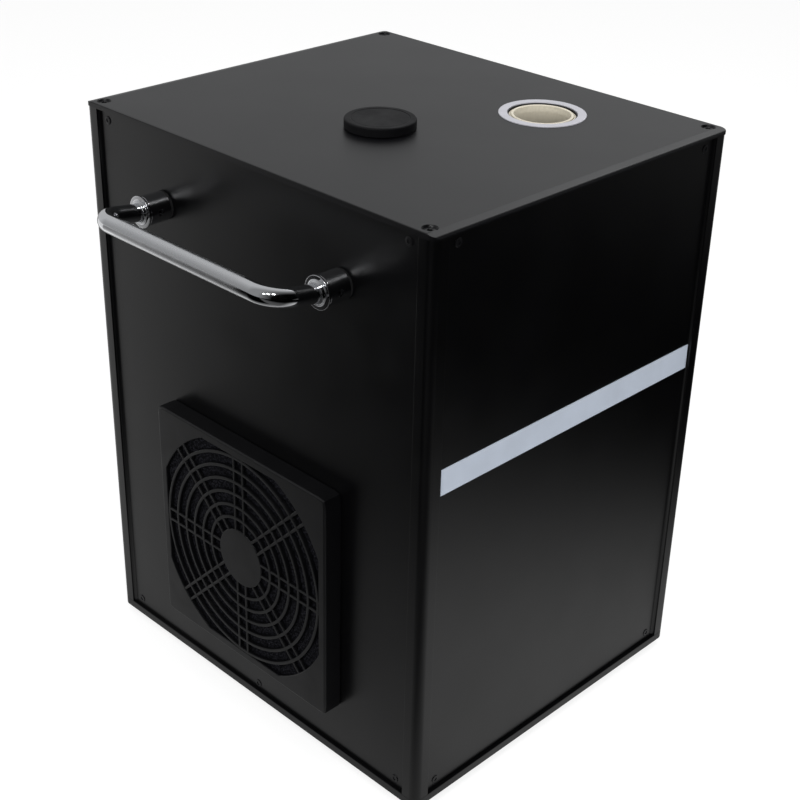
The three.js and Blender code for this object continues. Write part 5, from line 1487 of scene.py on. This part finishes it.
class SPARK_OT_stage(bpy.types.Operator):
    """Set up the floor, the world, the lamps and the camera"""

    bl_idname = "spark.stage"
    bl_label = "Stage"

    def by_ray(self, tree, bounce, mirror, eye):
        """Shows one shader to bouncing light, one to mirrored rays and one to the camera."""
        rays = add(tree, "LightPath").outputs
        kinds = (rays["Is Glossy Ray"], rays["Is Transmission Ray"])
        mirrored = add(tree, "Math", kinds, operation="MAXIMUM")
        light = add(tree, "MixShader", (mirrored, bounce, mirror))
        return add(tree, "MixShader", (rays["Is Camera Ray"], light, eye))

    def world(self, scene):
        """A white backdrop; mirrored rays see a room instead, and a window high at its right."""
        world = bpy.data.worlds.new("studio")
        scene.world = world
        world.use_nodes = True
        tree = world.node_tree
        tree.nodes.clear()
        way = add(tree, "TexCoord").outputs["Generated"]
        x, y, z = add(tree, "SeparateXYZ", (way,)).outputs
        # The room is dark in front of the machine and grey behind it.
        across = add(tree, "Math", (x, y), operation="ADD")
        side = add(tree, "MapRange", (across, 0, 0.7, 0.26, 0.5))
        behind = add(tree, "MapRange", (y, -0.6, 0.1, 0, 1))
        room = add(tree, "Math", (side, behind), operation="MULTIPLY")
        window = WINDOW_STRENGTH
        for axis, start, end in ((x, 0.6, 0.8), (z, 0.45, 0.55), (y, -0.1, 0.25)):
            edge = add(tree, "MapRange", (axis, start, end, 0, 1))
            window = add(tree, "Math", (window, edge), operation="MULTIPLY")
        level = add(tree, "Math", (room, window), operation="ADD")
        soft = add(tree, "Background", (WHITE, scene.spark_stage.ambient))
        mirror = add(tree, "Background", ((0.98, 0.99, 1, 1), level))
        eye = add(tree, "Background", (WHITE, 1))
        add(tree, "OutputWorld", (self.by_ray(tree, soft, mirror, eye),))

    def floor_material(self):
        """A white studio floor: even to the eye, and fading with distance in reflections."""
        made = bpy.data.materials.new("studio_floor")
        made.use_nodes = True
        tree = made.node_tree
        tree.nodes.clear()
        x, y = add(tree, "SeparateXYZ", (add(tree, "NewGeometry"),)).outputs[:2]
        # At the left it is dark beside the machine's front and grows bright towards the back.
        far = add(tree, "Math", (x, 1.15, y), operation="MULTIPLY_ADD")
        far = add(tree, "MapRange", (far, -0.45, 0.15, 0, 1))
        far = add(tree, "Math", (far, 4), operation="POWER")
        near = add(tree, "MapRange", (x, -0.34, -0.12, 0, 0.32))
        left = add(tree, "Math", (far, 0.72, near), operation="MULTIPLY_ADD")
        beyond = add(tree, "MapRange", (x, -0.14, -0.1, 1, 0))
        side = add(tree, "Mix", {0: beyond, 2: 0.4, 3: left}, data_type="FLOAT")
        # In front it fades with distance, also towards the right, where it ends in a faint glow.
        slant = add(tree, "Math", (x, 0), operation="MAXIMUM")
        slant = add(tree, "Math", (slant, -1.1, y), operation="MULTIPLY_ADD")
        fade = add(tree, "MapRange", (slant, -0.6, -0.2, 0, 0.54), interpolation_type="SMOOTHSTEP")
        corner = add(tree, "MapRange", (x, -0.2, -0.05, 0.15, 1))
        glow = add(tree, "MapRange", (x, 0.5, 0.8, 0, 1))
        glow = add(tree, "Math", (glow, 2), operation="POWER")
        glow = add(tree, "Math", (glow, 0.1), operation="MULTIPLY")
        ahead = add(tree, "Math", (fade, corner, glow), operation="MULTIPLY_ADD")
        front = add(tree, "MapRange", (y, -0.125, -0.115, 1, 0))
        level = add(tree, "Mix", {0: front, 2: side, 3: ahead}, data_type="FLOAT")
        mirror = add(tree, "Emission", (WHITE, level))
        bounce = add(tree, "BsdfDiffuse", ((0.8, 0.8, 0.8, 1),))
        # The eye sees a nearly white glow, and under it a surface that takes the shadow.
        shadow = add(tree, "BsdfDiffuse", ((0.3, 0.3, 0.3, 1),))
        eye = add(tree, "AddShader", (shadow, add(tree, "Emission", (WHITE, 0.82))))
        add(tree, "OutputMaterial", (self.by_ray(tree, bounce, mirror, eye),))
        return made

    def lamp(self, scene, name, place, size, power, glints):
        data = bpy.data.lights.new(name, "AREA")
        data.shape = "SQUARE"
        data.size = size
        data.energy = power
        obj = bpy.data.objects.new(name, data)
        scene.collection.objects.link(obj)
        obj.location = place
        obj.visible_glossy = glints
        obj.rotation_euler = (LAMP_TARGET - Vector(place)).to_track_quat("-Z", "Y").to_euler()

    def execute(self, context):
        scene = context.scene
        stage = scene.spark_stage
        half = stage.floor / 2
        bm = bmesh.new()
        corners = ((-half, -half), (half, -half), (half, half), (-half, half))
        bm.faces.new([bm.verts.new((x, y, 0)) for x, y in corners])
        mesh = bpy.data.meshes.new("studio_floor")
        bm.to_mesh(mesh)
        bm.free()
        floor = bpy.data.objects.new("studio_floor", mesh)
        mesh.materials.append(self.floor_material())
        scene.collection.objects.link(floor)
        self.world(scene)
        for name, (place, size, setting, glints) in LAMPS.items():
            self.lamp(scene, name, place, size, getattr(stage, setting), glints)
        data = bpy.data.cameras.new("camera")
        data.lens = stage.lens
        data.sensor_width = 36
        data.clip_start = 0.01
        data.clip_end = 50
        camera = bpy.data.objects.new("camera", data)
        scene.collection.objects.link(camera)
        camera.location = stage.camera_place
        camera.rotation_euler = stage.camera_turn
        scene.camera = camera
        scene.view_settings.view_transform = "Standard"
        return {"FINISHED"}


OPERATORS = (
    SPARK_OT_casing,
    SPARK_OT_panels,
    SPARK_OT_handles,
    SPARK_OT_fan_guard,
    SPARK_OT_filler_cap,
    SPARK_OT_nozzle,
    SPARK_OT_feet,
    SPARK_OT_display,
    SPARK_OT_power_switch,
    SPARK_OT_sockets,
    SPARK_OT_inside,
    SPARK_OT_stage,
)


class SPARK_PT_panel(bpy.types.Panel):
    """Lists the sizes, the colours and the building steps"""

    bl_idname = "SPARK_PT_panel"
    bl_label = "Cold spark machine"
    bl_space_type = "VIEW_3D"
    bl_region_type = "UI"
    bl_category = "Spark"

    def draw(self, context):
        for operator in OPERATORS:
            self.layout.operator(operator.bl_idname)
        for name, group in GROUPS.items():
            box = self.layout.box()
            box.label(text=group.__doc__.rstrip("."))
            for prop in group.__annotations__:
                label = prop.replace("_", " ").capitalize()
                box.prop(getattr(context.scene, name), prop, text=label)


def register():
    for group in GROUPS.values():
        bpy.utils.register_class(group)
    for name, group in GROUPS.items():
        setattr(bpy.types.Scene, name, PointerProperty(type=group))
    for operator in OPERATORS:
        bpy.utils.register_class(operator)
    bpy.utils.register_class(SPARK_PT_panel)


def unregister():
    bpy.utils.unregister_class(SPARK_PT_panel)
    for operator in reversed(OPERATORS):
        bpy.utils.unregister_class(operator)
    for name, group in GROUPS.items():
        delattr(bpy.types.Scene, name)
        bpy.utils.unregister_class(group)


def main():
    register()
    for operator in OPERATORS:
        group, name = operator.bl_idname.split(".")
        getattr(getattr(bpy.ops, group), name)()


if __name__ == "__main__":
    main()
